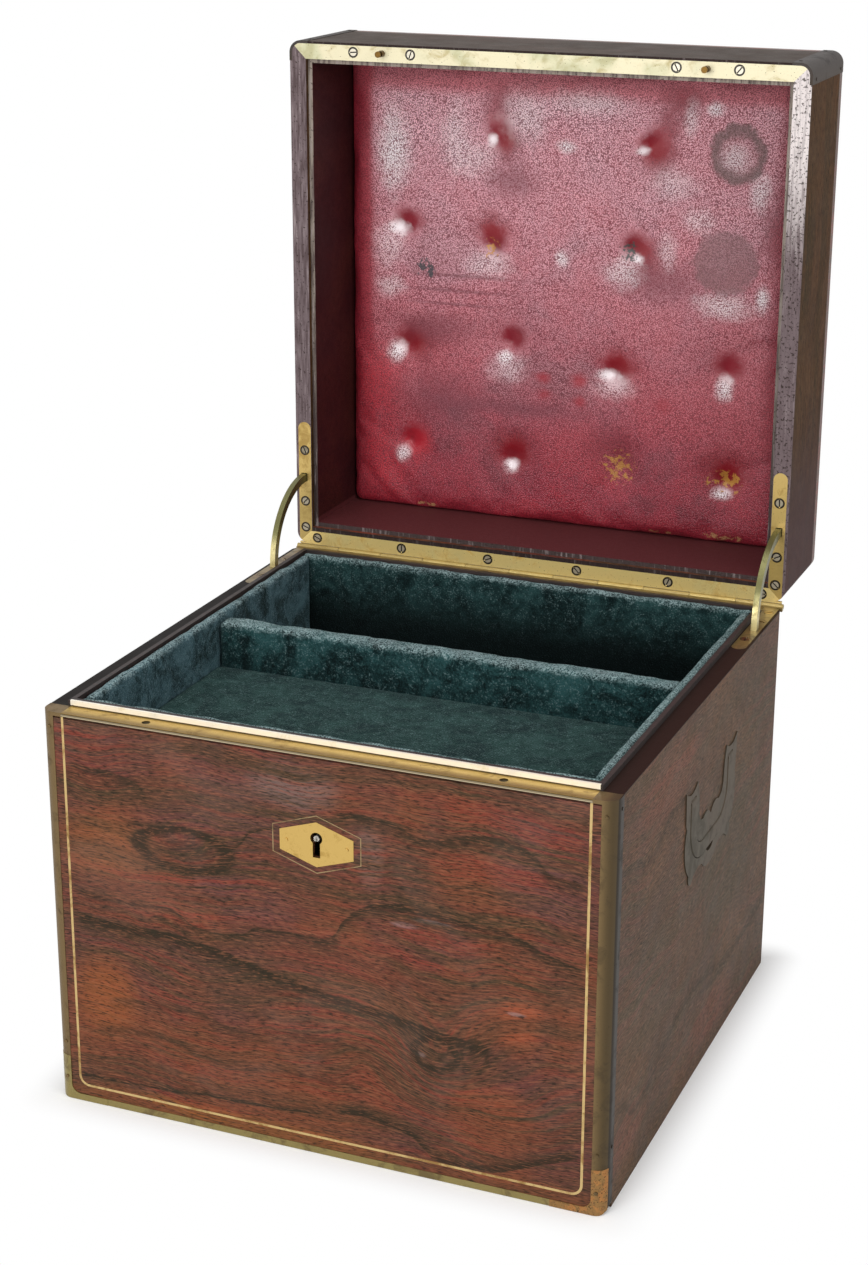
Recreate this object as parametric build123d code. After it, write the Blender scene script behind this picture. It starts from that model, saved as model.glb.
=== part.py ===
from build123d import *
import math
import os

# Antique apothecary box: a rosewood case with a hinged lid, brass bound, velvet lined.
# X runs to the box's right, Y to its back, Z up. The origin is the middle of the base.
# The lid stands open at a right angle. Lid pieces are made shut and then swung open.

# ---------------------------------------------------------------- case
case_width = 300.0
case_depth = 294.5
case_height = 217.0           # foot to rim
board = 10.0                  # case boards, and so the rim's flat land
bottom_thickness = 10.0
corner_radius = 6.5           # upright edges of case and lid
side_liner = 2.5              # thin boards whose tops stand up as the rim's lip
front_liner_thickness = 4.0
lip_height = 3.0

# ---------------------------------------------------------------- lid
lid_height = 71.0
lid_swing = 90.0              # degrees from shut to open
lid_top_thickness = 8.0
lid_top_round = 2.5
lid_liner = 2.5
rim_gap = 0.3                 # between the shut lid's rim and the case's
side_gap = 0.3                # between the lip and the shut lid's walls
lip_headroom = 0.6            # above the lip, under the lid's liners

# ---------------------------------------------------------------- brass on the rims
rim_plate = 2.0
rim_groove = 0.9              # the shadow line under the front strip
brass_proud = 0.3
rim_strip_end = 11.5          # length of each moulding's top pad
lip_brass = 1.2
lip_brass_proud = 0.2
lip_brass_depth = 6.0         # below the rim
lip_brass_inset = 1.2
lid_strip_margin = 0.8        # wood left outside the lid's strip
plate_width = 8.0
plate_length = 74.2
plate_inset = 1.5             # from the side's outer face
leaf_width = 7.3

# ---------------------------------------------------------------- corner mouldings
moulding_thickness = 1.6
front_wing = 7.0
side_wing = 10.3
cap_side_wing = 4.2
cap_proud = 0.5
cap_gap = 0.3
lid_wing = 11.0
cap_height = 25.0
cap_foot_length = 28.0
cap_foot_height = 3.6
cap_inner_radius = 5.0
cap_corner_radius = 4.0
pin_head_radius = 0.9
pin_head_proud = 0.35
pin_length = 4.0
pin_from_end = 8.0
pin_from_edge = 2.5
pin_stagger = 2.0

# ---------------------------------------------------------------- hinge
barrel_radius = 1.5
barrel_gap = 1.1              # between the barrel and the back
hinge_pin_radius = 0.8
running_gap = 0.05            # radial, pins in their holes
knuckle_count = 11
knuckle_gap = 0.3
leaf_lip_short = 0.8          # how far a leaf's hollowed edge stops short of the axis

# ---------------------------------------------------------------- screws
screw_head_radius = 2.7
screw_head_height = 1.5
screw_shank_radius = 1.2
screw_length = 8.5
screw_slot_width = 0.7
screw_slot_depth = 0.6
plate_screw_places = (57.0, 25.7, 9.5)      # from the back face
leaf_screw_count = 6
leaf_screw_end = 13.0         # from the side's outer face to the first screw
leaf_screw_inset = 3.4
strip_screw_places = (76.5, 111.0)

# ---------------------------------------------------------------- lid studs and lock
stud_place = 93.5
stud_radius = 1.75
stud_length = 6.0
stud_neck_radius = 1.1
stud_neck_top = 3.2           # below the case rim
stud_neck_height = 1.9
stud_shank = 5.0
socket_gap = 0.4
bolt_travel = 5.0
bolt_width = 6.4
bolt_thickness = 1.2
bolt_overhang = 10.0
bolt_leg_width = 12.0
bolt_leg_above_key = 18.0     # the leg's foot above the keyhole's centre
bolt_leg_thickness = 2.0
channel_gap = 0.3
channel_height = 6.0
lock_width = 60.0
lock_depth = 7.6
lock_below_key = 14.5         # the lock's foot below the keyhole's centre
lock_wall = 1.2

# ---------------------------------------------------------------- front inlay and escutcheon
string_inset = 12.0
string_height = 9.3
string_width = 1.3
string_depth = 0.8
string_radius = 5.5
escutcheon_drop = 47.0        # centre below the rim
escutcheon_width = 39.0
escutcheon_tall = 23.5
escutcheon_edge = 10.6        # its upright side edges
escutcheon_thickness = 1.2
escutcheon_proud = 0.2
line_margin = 4.0
line_width = 0.5
line_depth = 0.6
keyhole_rise = 3.2            # round part above the plate's centre
keyhole_radius = 3.15
keyhole_slot = 3.9
keyhole_drop = 10.0
drill_pin_radius = 1.5
drill_pin_cross = 0.5
escutcheon_pin_place = 16.0
escutcheon_pin_length = 2.2

# ---------------------------------------------------------------- side handles
handle_y = 12.6
handle_top = 176.0
handle_half_width = 46.6
handle_limb = 20.0
handle_drop = 56.5
handle_plate_thickness = 3.0
handle_plate_proud = 0.6
bail_half_width = 37.8
bail_bar = 8.3
bail_thickness = 3.6
bail_proud = 0.4              # above the plate
bail_pivot_drop = 9.0         # below the plate's top
bail_drop = 37.0              # pivot to the bail's foot
bail_outer_radius = 24.0
bail_gap = 0.35
bail_edge = 0.7
bail_pin_radius = 0.9
bail_pin_reach = 3.0
thumb_half_width = 6.0
thumb_drop = 3.0

# ---------------------------------------------------------------- stays
stay_radius = 43.0
stay_bar = 4.5
stay_thickness = 3.2
stay_x_inset = 5.0            # from the side's outer face
stay_tail = 10.0              # degrees inside each plate
stay_head = 6.0               # degrees
stay_head_bar = 8.0
stay_gap = 0.35
stay_pocket_gap = 0.6
stay_pocket_spare = 3.0       # degrees

# ---------------------------------------------------------------- lining
lining = 5.8
lining_gap = 0.2
lining_below_lip = 0.4
divider_front = 8.5
divider_thickness = 13.0
divider_below_rim = 1.0
tray_depth = 26.0
tray_floor_thickness = 5.0
deep_floor_thickness = 6.0
bearer_size = 8.0
pad_thickness = 12.0
pad_gap = 0.3

# ---------------------------------------------------------------- worked out from these
half_width = case_width / 2
front_face = -case_depth / 2
back_face = case_depth / 2
rim = case_height
lip_top = rim + lip_height
case_inner_x = half_width - board
case_inner_y = back_face - board
hinge_y = back_face + barrel_radius + barrel_gap
hinge_z = rim + rim_gap / 2
lid_rim = rim + rim_gap
lid_top = lid_rim + lid_height
lid_board = board - side_gap
lid_inner_x = half_width - lid_board
lid_inner_y = back_face - lid_board
lid_liner_bottom = lip_top + lip_headroom
lid_ceiling = lid_top - lid_top_thickness
land_centre = front_face + board / 2
strip_end = half_width - rim_strip_end
knuckle_pitch = case_width / knuckle_count
stay_x = half_width - stay_x_inset
plate_centre = half_width - plate_inset - plate_width / 2
escutcheon_height = rim - escutcheon_drop
keyhole_z = escutcheon_height + keyhole_rise
lock_top = rim - rim_plate - channel_height - channel_gap
lock_foot = keyhole_z - lock_below_key
lining_x = case_inner_x - side_liner - lining_gap
lining_front = -case_inner_y + front_liner_thickness + lining_gap
lining_back = case_inner_y - side_liner - lining_gap
lining_top = lip_top - lining_below_lip
lining_foot = bottom_thickness + lining_gap
bay_x = lining_x - lining - lining_gap
bay_front = lining_front + lining + lining_gap
bay_back = lining_back - lining - lining_gap
bail_pivot_z = handle_top - bail_pivot_drop
bail_centre_x = half_width + handle_plate_proud + bail_proud - bail_thickness / 2


def block(x0, x1, y0, y1, z0, z1):
    """A box given by its limits."""
    return Pos((x0 + x1) / 2, (y0 + y1) / 2, (z0 + z1) / 2) * Box(x1 - x0, y1 - y0, z1 - z0)


def rod(radius, start, end):
    """A round bar between two points that differ along one axis."""
    axis = Vector(*end) - Vector(*start)
    return extrude(Plane(origin=start, z_dir=axis) * Circle(radius), axis.length)


def upright(sketch, z0, z1):
    """A plan sketch carried up from z0 to z1."""
    return extrude(Plane.XY.offset(z0) * sketch, z1 - z0, dir=(0, 0, 1))


def on_front(sketch, y0, y1):
    """A sketch in X and Z carried back from y0 to y1."""
    face = Plane(origin=(0, y1, 0), x_dir=(1, 0, 0), z_dir=(0, -1, 0)) * sketch
    return extrude(face, y1 - y0, dir=(0, -1, 0))


def on_side(sketch, x0, x1):
    """A sketch in Y and Z carried outwards from x0 to x1."""
    face = Plane(origin=(x0, 0, 0), x_dir=(0, 1, 0), z_dir=(1, 0, 0)) * sketch
    return extrude(face, x1 - x0, dir=(1, 0, 0))


def flip_x(part):
    """The same piece on the other side of the box."""
    return mirror(part, about=Plane.YZ)


def flip_rim(part):
    """The same piece on the other side of the plane where the rims meet."""
    return mirror(part, about=Plane.XY.offset(hinge_z))


def swing_open(part):
    """The shut lid's piece, turned about the hinge to where it stands open."""
    return part.rotate(Axis((0, hinge_y, hinge_z), (1, 0, 0)), -lid_swing)


def group(parts):
    """Separate solids kept together in one node."""
    return Compound(children=list(parts))


# ---------------------------------------------------------------- plans shared by case and lid


def outline_plan(grow=0.0):
    """The rounded plan of case and lid, grown or shrunk all round."""
    return RectangleRounded(case_width + 2 * grow, case_depth + 2 * grow, corner_radius + grow)


def ring(thickness, z0, z1):
    """Four walls in one, with rounded upright edges."""
    inside = Rectangle(case_width - 2 * thickness, case_depth - 2 * thickness)
    return upright(outline_plan() - inside, z0, z1)


def mitre_wedge(side, thickness, z0, z1):
    """What one board takes of a ring of walls, cut at the mitres."""
    x, y, over = half_width, back_face, 1.0
    wide = Polygon((-x - over, -y - over), (x + over, -y - over), (x - thickness, thickness - y),
                   (thickness - x, thickness - y), align=None)
    deep = Polygon((x + over, -y - over), (x + over, y + over), (x - thickness, y - thickness),
                   (x - thickness, thickness - y), align=None)
    front = upright(wide, z0, z1)
    right = upright(deep, z0, z1)
    wedges = {"front": front, "right": right, "left": flip_x(right)}
    wedges["back"] = mirror(front, about=Plane.XZ)
    return wedges[side]


def corner_angle(wing_x, wing_y, z0, z1, proud=brass_proud):
    """A thin angle round the front right upright edge."""
    skin = outline_plan(proud) - outline_plan(brass_proud - moulding_thickness)
    over = 1.0
    reach = block(half_width - wing_x, half_width + over, front_face - over, front_face + wing_y, z0, z1)
    return upright(skin, z0, z1) & reach


# ---------------------------------------------------------------- screws and pins


def screw_blank(x, y, face, down, grow=0.0):
    """A countersunk screw's outline, its head flush with a level face."""
    sign = -1 if down else 1
    head = Pos(x, y, face + sign * screw_head_height / 2) * Cone(
        (screw_shank_radius if down else screw_head_radius) + grow,
        (screw_head_radius if down else screw_shank_radius) + grow, screw_head_height)
    shank = rod(screw_shank_radius + grow, (x, y, face + sign * screw_head_height),
                (x, y, face + sign * (screw_length + grow)))
    return head + shank


def screw(x, y, face, down, turn):
    """A slotted countersunk screw."""
    cutter = Box(3 * screw_head_radius, screw_slot_width, 2 * screw_slot_depth)
    return screw_blank(x, y, face, down) - Pos(x, y, face) * Rot(0, 0, turn) * cutter


def plate_screw_points():
    """Where the side plates' screws stand, as X and Y."""
    return [(side * plate_centre, back_face - place) for side in (-1, 1) for place in plate_screw_places]


def leaf_screw_points():
    """Where the hinge leaves' screws stand, as X and Y."""
    first = leaf_screw_end - half_width
    pitch = -2 * first / (leaf_screw_count - 1)
    return [(first + i * pitch, back_face - leaf_screw_inset) for i in range(leaf_screw_count)]


def strip_screw_points():
    """Where the lid strip's screws stand, as X and Y."""
    return [(side * place, land_centre) for side in (-1, 1) for place in strip_screw_places]


def slot_turn(i):
    """An uneven spread of screw slot directions."""
    return (i * 67 + 25) % 180


def screws(points, face, down):
    """One screw at each point."""
    return [screw(x, y, face, down, slot_turn(i)) for i, (x, y) in enumerate(points)]


def screw_holes(points, face, down):
    """The clearance holes for the same screws."""
    return [screw_blank(x, y, face, down, running_gap) for x, y in points]


def pin_blank(point, outwards, grow=0.0, length=pin_length):
    """A small round pin whose head stands just proud of a face."""
    out = Vector(*outwards)
    foot = Vector(*point) - out * length
    tip = Vector(*point) + out * pin_head_proud
    return rod(pin_head_radius + grow, tuple(foot), tuple(tip))


# ---------------------------------------------------------------- hinge and stays


def knuckle_spans(own):
    """X limits of every second knuckle, starting with own."""
    spans = []
    for i in range(own, knuckle_count, 2):
        start = -half_width + i * knuckle_pitch
        spans.append((start + knuckle_gap / 2, start + knuckle_pitch - knuckle_gap / 2))
    return spans


def leaf_plan():
    """The hinge leaf's plan, cut at the mitre with the side plates."""
    x, y = half_width - plate_inset, back_face
    inner = leaf_width
    return Polygon((-x, y), (x, y), (x - inner, y - inner), (inner - x, y - inner), align=None)


def side_plate_plan():
    """The right side plate's plan, with a rounded front end and a mitred back end."""
    x0 = plate_centre - plate_width / 2
    x1 = plate_centre + plate_width / 2
    y0 = back_face - plate_length + plate_width / 2
    plan = Polygon((x0, y0), (x1, y0), (x1, back_face), (x0, back_face - plate_width), align=None)
    return plan + Pos(plate_centre, y0) * Circle(plate_width / 2)


def rim_brass_cut():
    """One recess for the case's leaf and both side plates, open at the top and at the back."""
    over = 1.0
    low = rim - rim_plate
    high = rim + over
    y0 = back_face - plate_length + plate_width / 2
    reach = half_width - plate_inset
    cut = block(-reach, reach, back_face - leaf_width, back_face + over, low, high)
    for side in (-1, 1):
        x = side * plate_centre
        cut += block(x - plate_width / 2, x + plate_width / 2, y0, back_face + over, low, high)
        cut += rod(plate_width / 2, (x, y0, low), (x, y0, high))
    return cut


def rim_leaf_plate():
    """The hinge leaf let into the case's back rim."""
    return upright(leaf_plan() & outline_plan(), rim - rim_plate, rim)


def hinge_line(radius):
    """A rod on the hinge's axis, longer than the case is wide."""
    over = 1.0
    return rod(radius, (-half_width - over, hinge_y, hinge_z), (half_width + over, hinge_y, hinge_z))


def hinge_leaf(own):
    """The case's leaf, hollowed along the barrel, with its knuckles rolled round the pin."""
    leaf = rim_leaf_plate()
    reach = half_width - plate_inset
    lip_end = hinge_y - leaf_lip_short
    edge = block(-reach, reach, back_face, lip_end, rim - rim_plate, rim)
    leaf += edge - hinge_line(barrel_radius + knuckle_gap)
    for x0, x1 in knuckle_spans(own):
        leaf += block(x0, x1, back_face, hinge_y, rim - rim_plate, rim)
        leaf += rod(barrel_radius, (x0, hinge_y, hinge_z), (x1, hinge_y, hinge_z))
    return leaf - hinge_line(hinge_pin_radius + running_gap)


def rim_side_plate():
    """The case's right side plate, trimmed to the rounded back corner."""
    return upright(side_plate_plan() & outline_plan(), rim - rim_plate, rim)


def stay_sector(bar, thickness, start, end):
    """Part of a flat ring about the hinge, from start to end degrees below the level front."""
    over = 2 * stay_radius
    ends = [(0.0, 0.0)]
    steps = 4
    for i in range(steps + 1):
        angle = math.radians(start + (end - start) * i / steps)
        ends.append((-over * math.cos(angle), -over * math.sin(angle)))
    wedge = Polygon(*ends, align=None)
    flat = (Circle(stay_radius + bar / 2) - Circle(stay_radius - bar / 2)) & wedge
    sketch = Pos(hinge_y, hinge_z) * flat
    return on_side(sketch, stay_x - thickness / 2, stay_x + thickness / 2)


def stay():
    """The right stay: a bar curved about the hinge, with a head inside each plate."""
    bar = stay_sector(stay_bar, stay_thickness, -lid_swing - stay_tail, stay_tail)
    low = stay_sector(stay_head_bar, stay_thickness, stay_tail - stay_head, stay_tail)
    high = stay_sector(stay_head_bar, stay_thickness, -lid_swing - stay_tail,
                       -lid_swing - stay_tail + stay_head)
    return bar + low + high


def stay_slot():
    """The slot in the right side plate for the stay."""
    y = hinge_y - stay_radius
    half_bar = stay_bar / 2 + stay_gap
    half_thick = stay_thickness / 2 + stay_gap
    return block(stay_x - half_thick, stay_x + half_thick, y - half_bar, y + half_bar,
                 rim - 2 * rim_plate, rim + rim_plate)


def stay_pocket():
    """The pocket in the case's right board that the stay sinks into as the lid shuts."""
    bar = stay_head_bar + 2 * stay_pocket_gap
    thickness = stay_thickness + 2 * stay_gap
    shut = stay_tail + lid_swing / 2 + stay_pocket_spare
    return stay_sector(bar, thickness, 0, shut)


# ---------------------------------------------------------------- front furniture


def stud_blank(side, grow=0.0):
    """A notched stud of the shut lid, reaching down through the case's strip."""
    x = side * stud_place
    y = land_centre
    return rod(stud_radius + grow, (x, y, lid_rim - stud_length - grow), (x, y, lid_rim + stud_shank + grow))


def stud(side):
    """The stud with the neck that the bolt catches."""
    x = side * stud_place
    y = land_centre
    top = rim - stud_neck_top
    collar = rod(stud_radius + 1, (x, y, top - stud_neck_height), (x, y, top))
    neck = rod(stud_neck_radius, (x, y, top - stud_neck_height), (x, y, top))
    return stud_blank(side) - (collar - neck)


def bolt_level():
    """The underside of the bolt, in the middle of the studs' necks."""
    return rim - stud_neck_top - stud_neck_height / 2 - bolt_thickness / 2


def lock_bolt():
    """The sliding bolt: a long bar with a keyhole slot for each stud, and a leg down into the lock."""
    low = bolt_level()
    reach = stud_place + bolt_overhang
    bar = block(-reach, reach, land_centre - bolt_width / 2, land_centre + bolt_width / 2,
                low, low + bolt_thickness)
    for side in (-1, 1):
        x = side * stud_place
        wide = stud_radius + socket_gap
        narrow = stud_neck_radius + socket_gap
        bar -= rod(wide, (x, land_centre, low - 1), (x, land_centre, low + bolt_thickness + 1))
        bar -= block(x - bolt_travel, x, land_centre - narrow, land_centre + narrow,
                     low - 1, low + bolt_thickness + 1)
        bar -= rod(narrow, (x - bolt_travel, land_centre, low - 1),
                   (x - bolt_travel, land_centre, low + bolt_thickness + 1))
    leg = block(-bolt_leg_width / 2, bolt_leg_width / 2, land_centre - bolt_leg_thickness / 2,
                land_centre + bolt_leg_thickness / 2, keyhole_z + bolt_leg_above_key, low)
    return bar + leg


def bolt_channel():
    """The groove under the case's strip that the bolt slides in."""
    reach = stud_place + bolt_overhang + bolt_travel + channel_gap
    half = bolt_width / 2 + channel_gap
    return block(-reach, reach, land_centre - half, land_centre + half,
                 rim - rim_plate - channel_height, rim - rim_plate)


def lock_box(grow=0.0):
    """The outside of the lock's case, let into the front board from inside."""
    back = -case_inner_y
    return block(-lock_width / 2 - grow, lock_width / 2 + grow, back - lock_depth - grow, back,
                 lock_foot - grow, lock_top + grow)


def keyhole(y0, y1):
    """The keyhole: a round with a slot hanging from it."""
    shape = Pos(0, keyhole_z) * Circle(keyhole_radius)
    shape += Pos(0, keyhole_z - keyhole_drop / 2) * Rectangle(keyhole_slot, keyhole_drop)
    return on_front(shape, y0, y1)


def lock_case():
    """The lock's case: a shallow box with a keyhole, open on top for the bolt's leg."""
    back = -case_inner_y
    body = lock_box() - block(-lock_width / 2 + lock_wall, lock_width / 2 - lock_wall,
                              back - lock_depth + lock_wall, back - lock_wall,
                              lock_foot + lock_wall, lock_top - lock_wall)
    half = bolt_leg_thickness / 2 + channel_gap
    side = bolt_leg_width / 2 + channel_gap
    slot = block(-side, side + bolt_travel, land_centre - half, land_centre + half,
                 lock_top - 2 * lock_wall, lock_top + lock_wall)
    return body - slot - keyhole(back - lock_depth - 1, back - lock_depth + 2 * lock_wall)


def lock_pin():
    """The pin that the key's barrel fits over, its end crossed by two nicks."""
    back = -case_inner_y - lock_wall
    tip = front_face - escutcheon_proud
    pin = rod(drill_pin_radius, (0, back, keyhole_z), (0, tip, keyhole_z))
    for turn in (0, 90):
        nick = Pos(0, tip, keyhole_z) * Rot(0, turn, 0) * Box(
            3 * drill_pin_radius, 2 * drill_pin_cross, drill_pin_cross)
        pin -= nick
    return pin


def long_hexagon(width, tall, edge):
    """A lozenge with its side points cut off upright."""
    x, z, e = width / 2, tall / 2, edge / 2
    return Pos(0, escutcheon_height) * Polygon(
        (-x, -e), (0, -z), (x, -e), (x, e), (0, z), (-x, e), align=None)


def escutcheon_seat():
    """The recess for the escutcheon."""
    shape = long_hexagon(escutcheon_width, escutcheon_tall, escutcheon_edge)
    face = front_face - escutcheon_proud
    return on_front(shape, face, face + escutcheon_thickness)


def escutcheon_pin_blanks(grow=0.0):
    """The two pins that hold the escutcheon."""
    face = front_face - escutcheon_proud
    return [pin_blank((side * escutcheon_pin_place, face, escutcheon_height), (0, -1, 0), grow,
                      escutcheon_pin_length) for side in (-1, 1)]


def escutcheon():
    """The brass keyhole plate."""
    plate = escutcheon_seat() - keyhole(front_face - 1, front_face + escutcheon_thickness)
    return plate - escutcheon_pin_blanks(running_gap)


def escutcheon_line():
    """The thin light line round the escutcheon."""
    grow = 2 * line_margin
    out = long_hexagon(escutcheon_width + grow, escutcheon_tall + grow - 1, escutcheon_edge + grow / 2)
    trim = grow - 2 * line_width
    inn = long_hexagon(escutcheon_width + trim, escutcheon_tall + trim - 1, escutcheon_edge + trim / 2)
    return on_front(out - inn, front_face, front_face + line_depth)


def stringing():
    """The light line let into the front, down both sides and across the foot."""
    tall = case_height
    shape = None
    for sign in (1, -1):
        half = half_width - string_inset + sign * string_width / 2
        foot = string_height - sign * string_width / 2
        radius = string_radius + sign * string_width / 2
        frame = Pos(0, foot + tall / 2) * RectangleRounded(2 * half, tall, radius)
        shape = frame if shape is None else shape - frame
    inlay = on_front(shape, front_face, front_face + string_depth)
    top = rim - rim_plate
    return inlay & block(-half_width, half_width, front_face - 1, front_face + board, 0, top)


# ---------------------------------------------------------------- mouldings and caps


def foot_round(proud):
    """What the rounded lower corner leaves off on the right."""
    x = half_width + proud
    radius = cap_corner_radius
    over = 1.0
    square = block(x - radius, x + over, front_face - over, front_face + side_wing, -over, radius)
    barrel = rod(radius, (x - radius, front_face - 2 * over, radius),
                 (x - radius, front_face + side_wing + over, radius))
    return square - barrel


def corner_moulding():
    """The right corner's upright angle, with a square pad over the end of the rim."""
    angle = corner_angle(front_wing, side_wing, 0, rim) - foot_round(brass_proud)
    over = 1.0
    angle -= block(0, half_width + over, front_face - over, front_face + cap_side_wing + cap_gap,
                   -over, cap_height)
    pad = upright(outline_plan(brass_proud), rim - rim_plate, rim)
    pad &= block(strip_end, half_width + over, front_face - over, front_face + board,
                 rim - rim_plate, rim)
    return angle + pad


def corner_cap():
    """The right lower corner's cap, with a foot along the front edge."""
    cap = corner_angle(front_wing, cap_side_wing, 0, cap_height, cap_proud)
    inner = half_width - front_wing
    foot = Pos(half_width - (cap_foot_length + front_wing) / 2, cap_foot_height / 2) * Rectangle(
        cap_foot_length - front_wing, cap_foot_height)
    centre = (inner - cap_inner_radius, cap_foot_height + cap_inner_radius)
    web = Pos(inner - cap_inner_radius / 2, cap_foot_height + cap_inner_radius / 2) * Rectangle(
        cap_inner_radius, cap_inner_radius)
    foot += web - Pos(*centre) * Circle(cap_inner_radius)
    cap += on_front(foot, front_face - cap_proud, front_face - brass_proud + moulding_thickness)
    return cap - foot_round(cap_proud)


def corner_cut():
    """What the right corner's moulding and cap take out of the boards."""
    seat = corner_angle(front_wing, side_wing, 0, rim, cap_proud + cap_gap)
    seat += corner_moulding() + corner_cap()
    return seat + foot_round(brass_proud)


def base_strip():
    """The strip along the front's lower edge, between the caps."""
    reach = half_width - cap_foot_length
    face = front_face - brass_proud
    return block(-reach, reach, face, face + moulding_thickness, 0, cap_foot_height)


def front_rim_strip():
    """The brass land along the front rim, with a socket for each stud."""
    strip = block(-strip_end, strip_end, front_face - brass_proud, front_face + board, rim - rim_plate, rim)
    for side in (-1, 1):
        x = side * stud_place
        strip -= rod(stud_radius + socket_gap, (x, land_centre, rim - 2 * rim_plate),
                     (x, land_centre, rim + 1))
    return strip


def front_lip_strip():
    """The bright brass face of the front lip."""
    reach = case_inner_x - lip_brass_inset
    back = -case_inner_y
    return block(-reach, reach, back, back + lip_brass, rim - lip_brass_depth, lip_top + lip_brass_proud)


def moulding_pin_blanks(grow=0.0):
    """The pins of the right corner moulding and cap."""
    side_x = half_width + brass_proud
    front_x = half_width - front_wing / 2 - 1
    side_y = front_face + side_wing - pin_from_edge
    blanks = [pin_blank((front_x, front_face - cap_proud, cap_height / 2), (0, -1, 0), grow)]
    for z in (rim - pin_from_end, cap_height + pin_from_end):
        blanks.append(pin_blank((front_x, front_face - brass_proud, z), (0, -1, 0), grow))
        blanks.append(pin_blank((side_x, side_y, z + pin_stagger), (1, 0, 0), grow))
    return blanks


def lid_pin_blanks(grow=0.0):
    """The pins of the shut lid's right corner moulding."""
    side_x = half_width + brass_proud
    face_y = front_face - brass_proud
    blanks = []
    for z in (lid_rim + pin_from_end, lid_top - pin_from_end):
        blanks.append(pin_blank((half_width - lid_wing + pin_from_edge, face_y, z), (0, -1, 0), grow))
        blanks.append(pin_blank((side_x, front_face + lid_wing - pin_from_edge, z), (1, 0, 0), grow))
    return blanks


# ---------------------------------------------------------------- side handles


def handle_outline():
    """The right handle plate's shaped outline, in Y and Z about its own middle."""
    top, foot, wide = handle_top, handle_top - handle_drop, handle_half_width
    inner = wide - handle_limb
    half = [
        ThreePointArc((0, foot), (7.5, foot + 1.0), (13, foot + 4.5)),
        ThreePointArc((13, foot + 4.5), (23, foot + 6.0), (33, foot + 1.5)),
        ThreePointArc((33, foot + 1.5), (36.5, foot + 2.5), (38, foot + 8)),
        ThreePointArc((38, foot + 8), (wide - 0.6, foot + 22), (wide - 2.6, foot + 36)),
        Line((wide - 2.6, foot + 36), (wide - 1.0, foot + 39)),
        Line((wide - 1.0, foot + 39), (wide, top)),
        ThreePointArc((wide, top), (wide - handle_limb / 2, top - 3.6), (inner, top - 0.5)),
        ThreePointArc((inner, top - 0.5), (inner - 3.4, top - 10), (inner - 4.2, top - 19)),
        ThreePointArc((inner - 4.2, top - 19), (inner - 8, top - 24.5), (14, top - 25.6)),
        ThreePointArc((14, top - 25.6), (7, top - 24.4), (0, top - 28.5)),
    ]
    right = Curve() + half
    return make_face(right + mirror(right, about=Plane.YZ))


def bail_outline(grow=0.0, above=0.0):
    """The bail's U, in Y and Z, grown all round and carried up past its pivot."""
    foot = bail_pivot_z - bail_drop
    top = bail_pivot_z + above
    shape = None
    for half, low, radius in (
            (bail_half_width + grow, foot - grow, bail_outer_radius + grow),
            (bail_half_width - bail_bar - grow, foot + bail_bar + grow, bail_outer_radius - bail_bar - grow)):
        panel = Pos(0, (low + top) / 2) * Rectangle(2 * half, top - low)
        panel = fillet(panel.vertices().sort_by(Axis.Y)[:2], radius)
        shape = panel if shape is None else shape - panel
    return shape


def bail_recess():
    """The U-shaped slot that the bail lies in, with a scoop for the thumb."""
    above = bail_thickness / 2 + bail_gap
    foot = bail_pivot_z - bail_drop
    scoop = Pos(0, foot) * Ellipse(thumb_half_width, thumb_drop)
    shape = Pos(handle_y, 0) * (bail_outline(bail_gap, above) + scoop)
    back = bail_centre_x - bail_thickness / 2 - bail_gap
    return on_side(shape, back, half_width + 2 * handle_plate_proud)


def handle_seat():
    """The recess for the whole plate."""
    x1 = half_width + handle_plate_proud
    return on_side(Pos(handle_y, 0) * handle_outline(), x1 - handle_plate_thickness, x1)


def bail_pins(grow=0.0):
    """The two pivot pins of the right handle."""
    pins = []
    for side in (-1, 1):
        near = handle_y + side * (bail_half_width - bail_bar - bail_pin_reach - grow)
        far = handle_y + side * (bail_half_width + bail_pin_reach + grow)
        pins.append(rod(bail_pin_radius + grow, (bail_centre_x, near, bail_pivot_z),
                        (bail_centre_x, far, bail_pivot_z)))
    return pins


def handle_plate():
    """The right handle's plate, let into the side."""
    return handle_seat() - bail_recess() - bail_pins(running_gap)


def handle_bail():
    """The right handle's swinging bail, hanging in its plate."""
    x0 = bail_centre_x - bail_thickness / 2
    x1 = bail_centre_x + bail_thickness / 2
    bail = on_side(Pos(handle_y, 0) * bail_outline(), x0, x1)
    bail = fillet(bail.faces().sort_by(Axis.X)[-1].edges().filter_by(Axis.Y, reverse=True), bail_edge)
    for side in (-1, 1):
        near = handle_y + side * (bail_half_width - bail_bar)
        far = handle_y + side * bail_half_width
        bail += rod(bail_thickness / 2, (bail_centre_x, near, bail_pivot_z),
                    (bail_centre_x, far, bail_pivot_z))
    return bail - bail_pins(running_gap)


# ---------------------------------------------------------------- case boards


def case_board(side):
    """One mitred board of the case, before its cuts."""
    return ring(board, 0, rim) & mitre_wedge(side, board, 0, rim)


def front_panel():
    """The front board, cut for its brass, inlay and lock."""
    panel = case_board("front")
    low = rim - rim_plate
    panel -= block(-half_width, half_width, front_face, front_face + board, low, rim)
    panel -= block(-half_width, half_width, front_face, front_face + rim_groove, low - rim_groove, low)
    panel -= corner_cut()
    panel -= flip_x(corner_cut())
    for cut in moulding_pin_blanks(running_gap):
        panel -= cut
        panel -= flip_x(cut)
    for cut in (base_strip(), stringing(), escutcheon_seat(), escutcheon_line(), bolt_channel()):
        panel -= cut
    panel -= lock_box(channel_gap)
    panel -= keyhole(front_face - 1, -case_inner_y)
    return panel - escutcheon_pin_blanks(running_gap)


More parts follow.
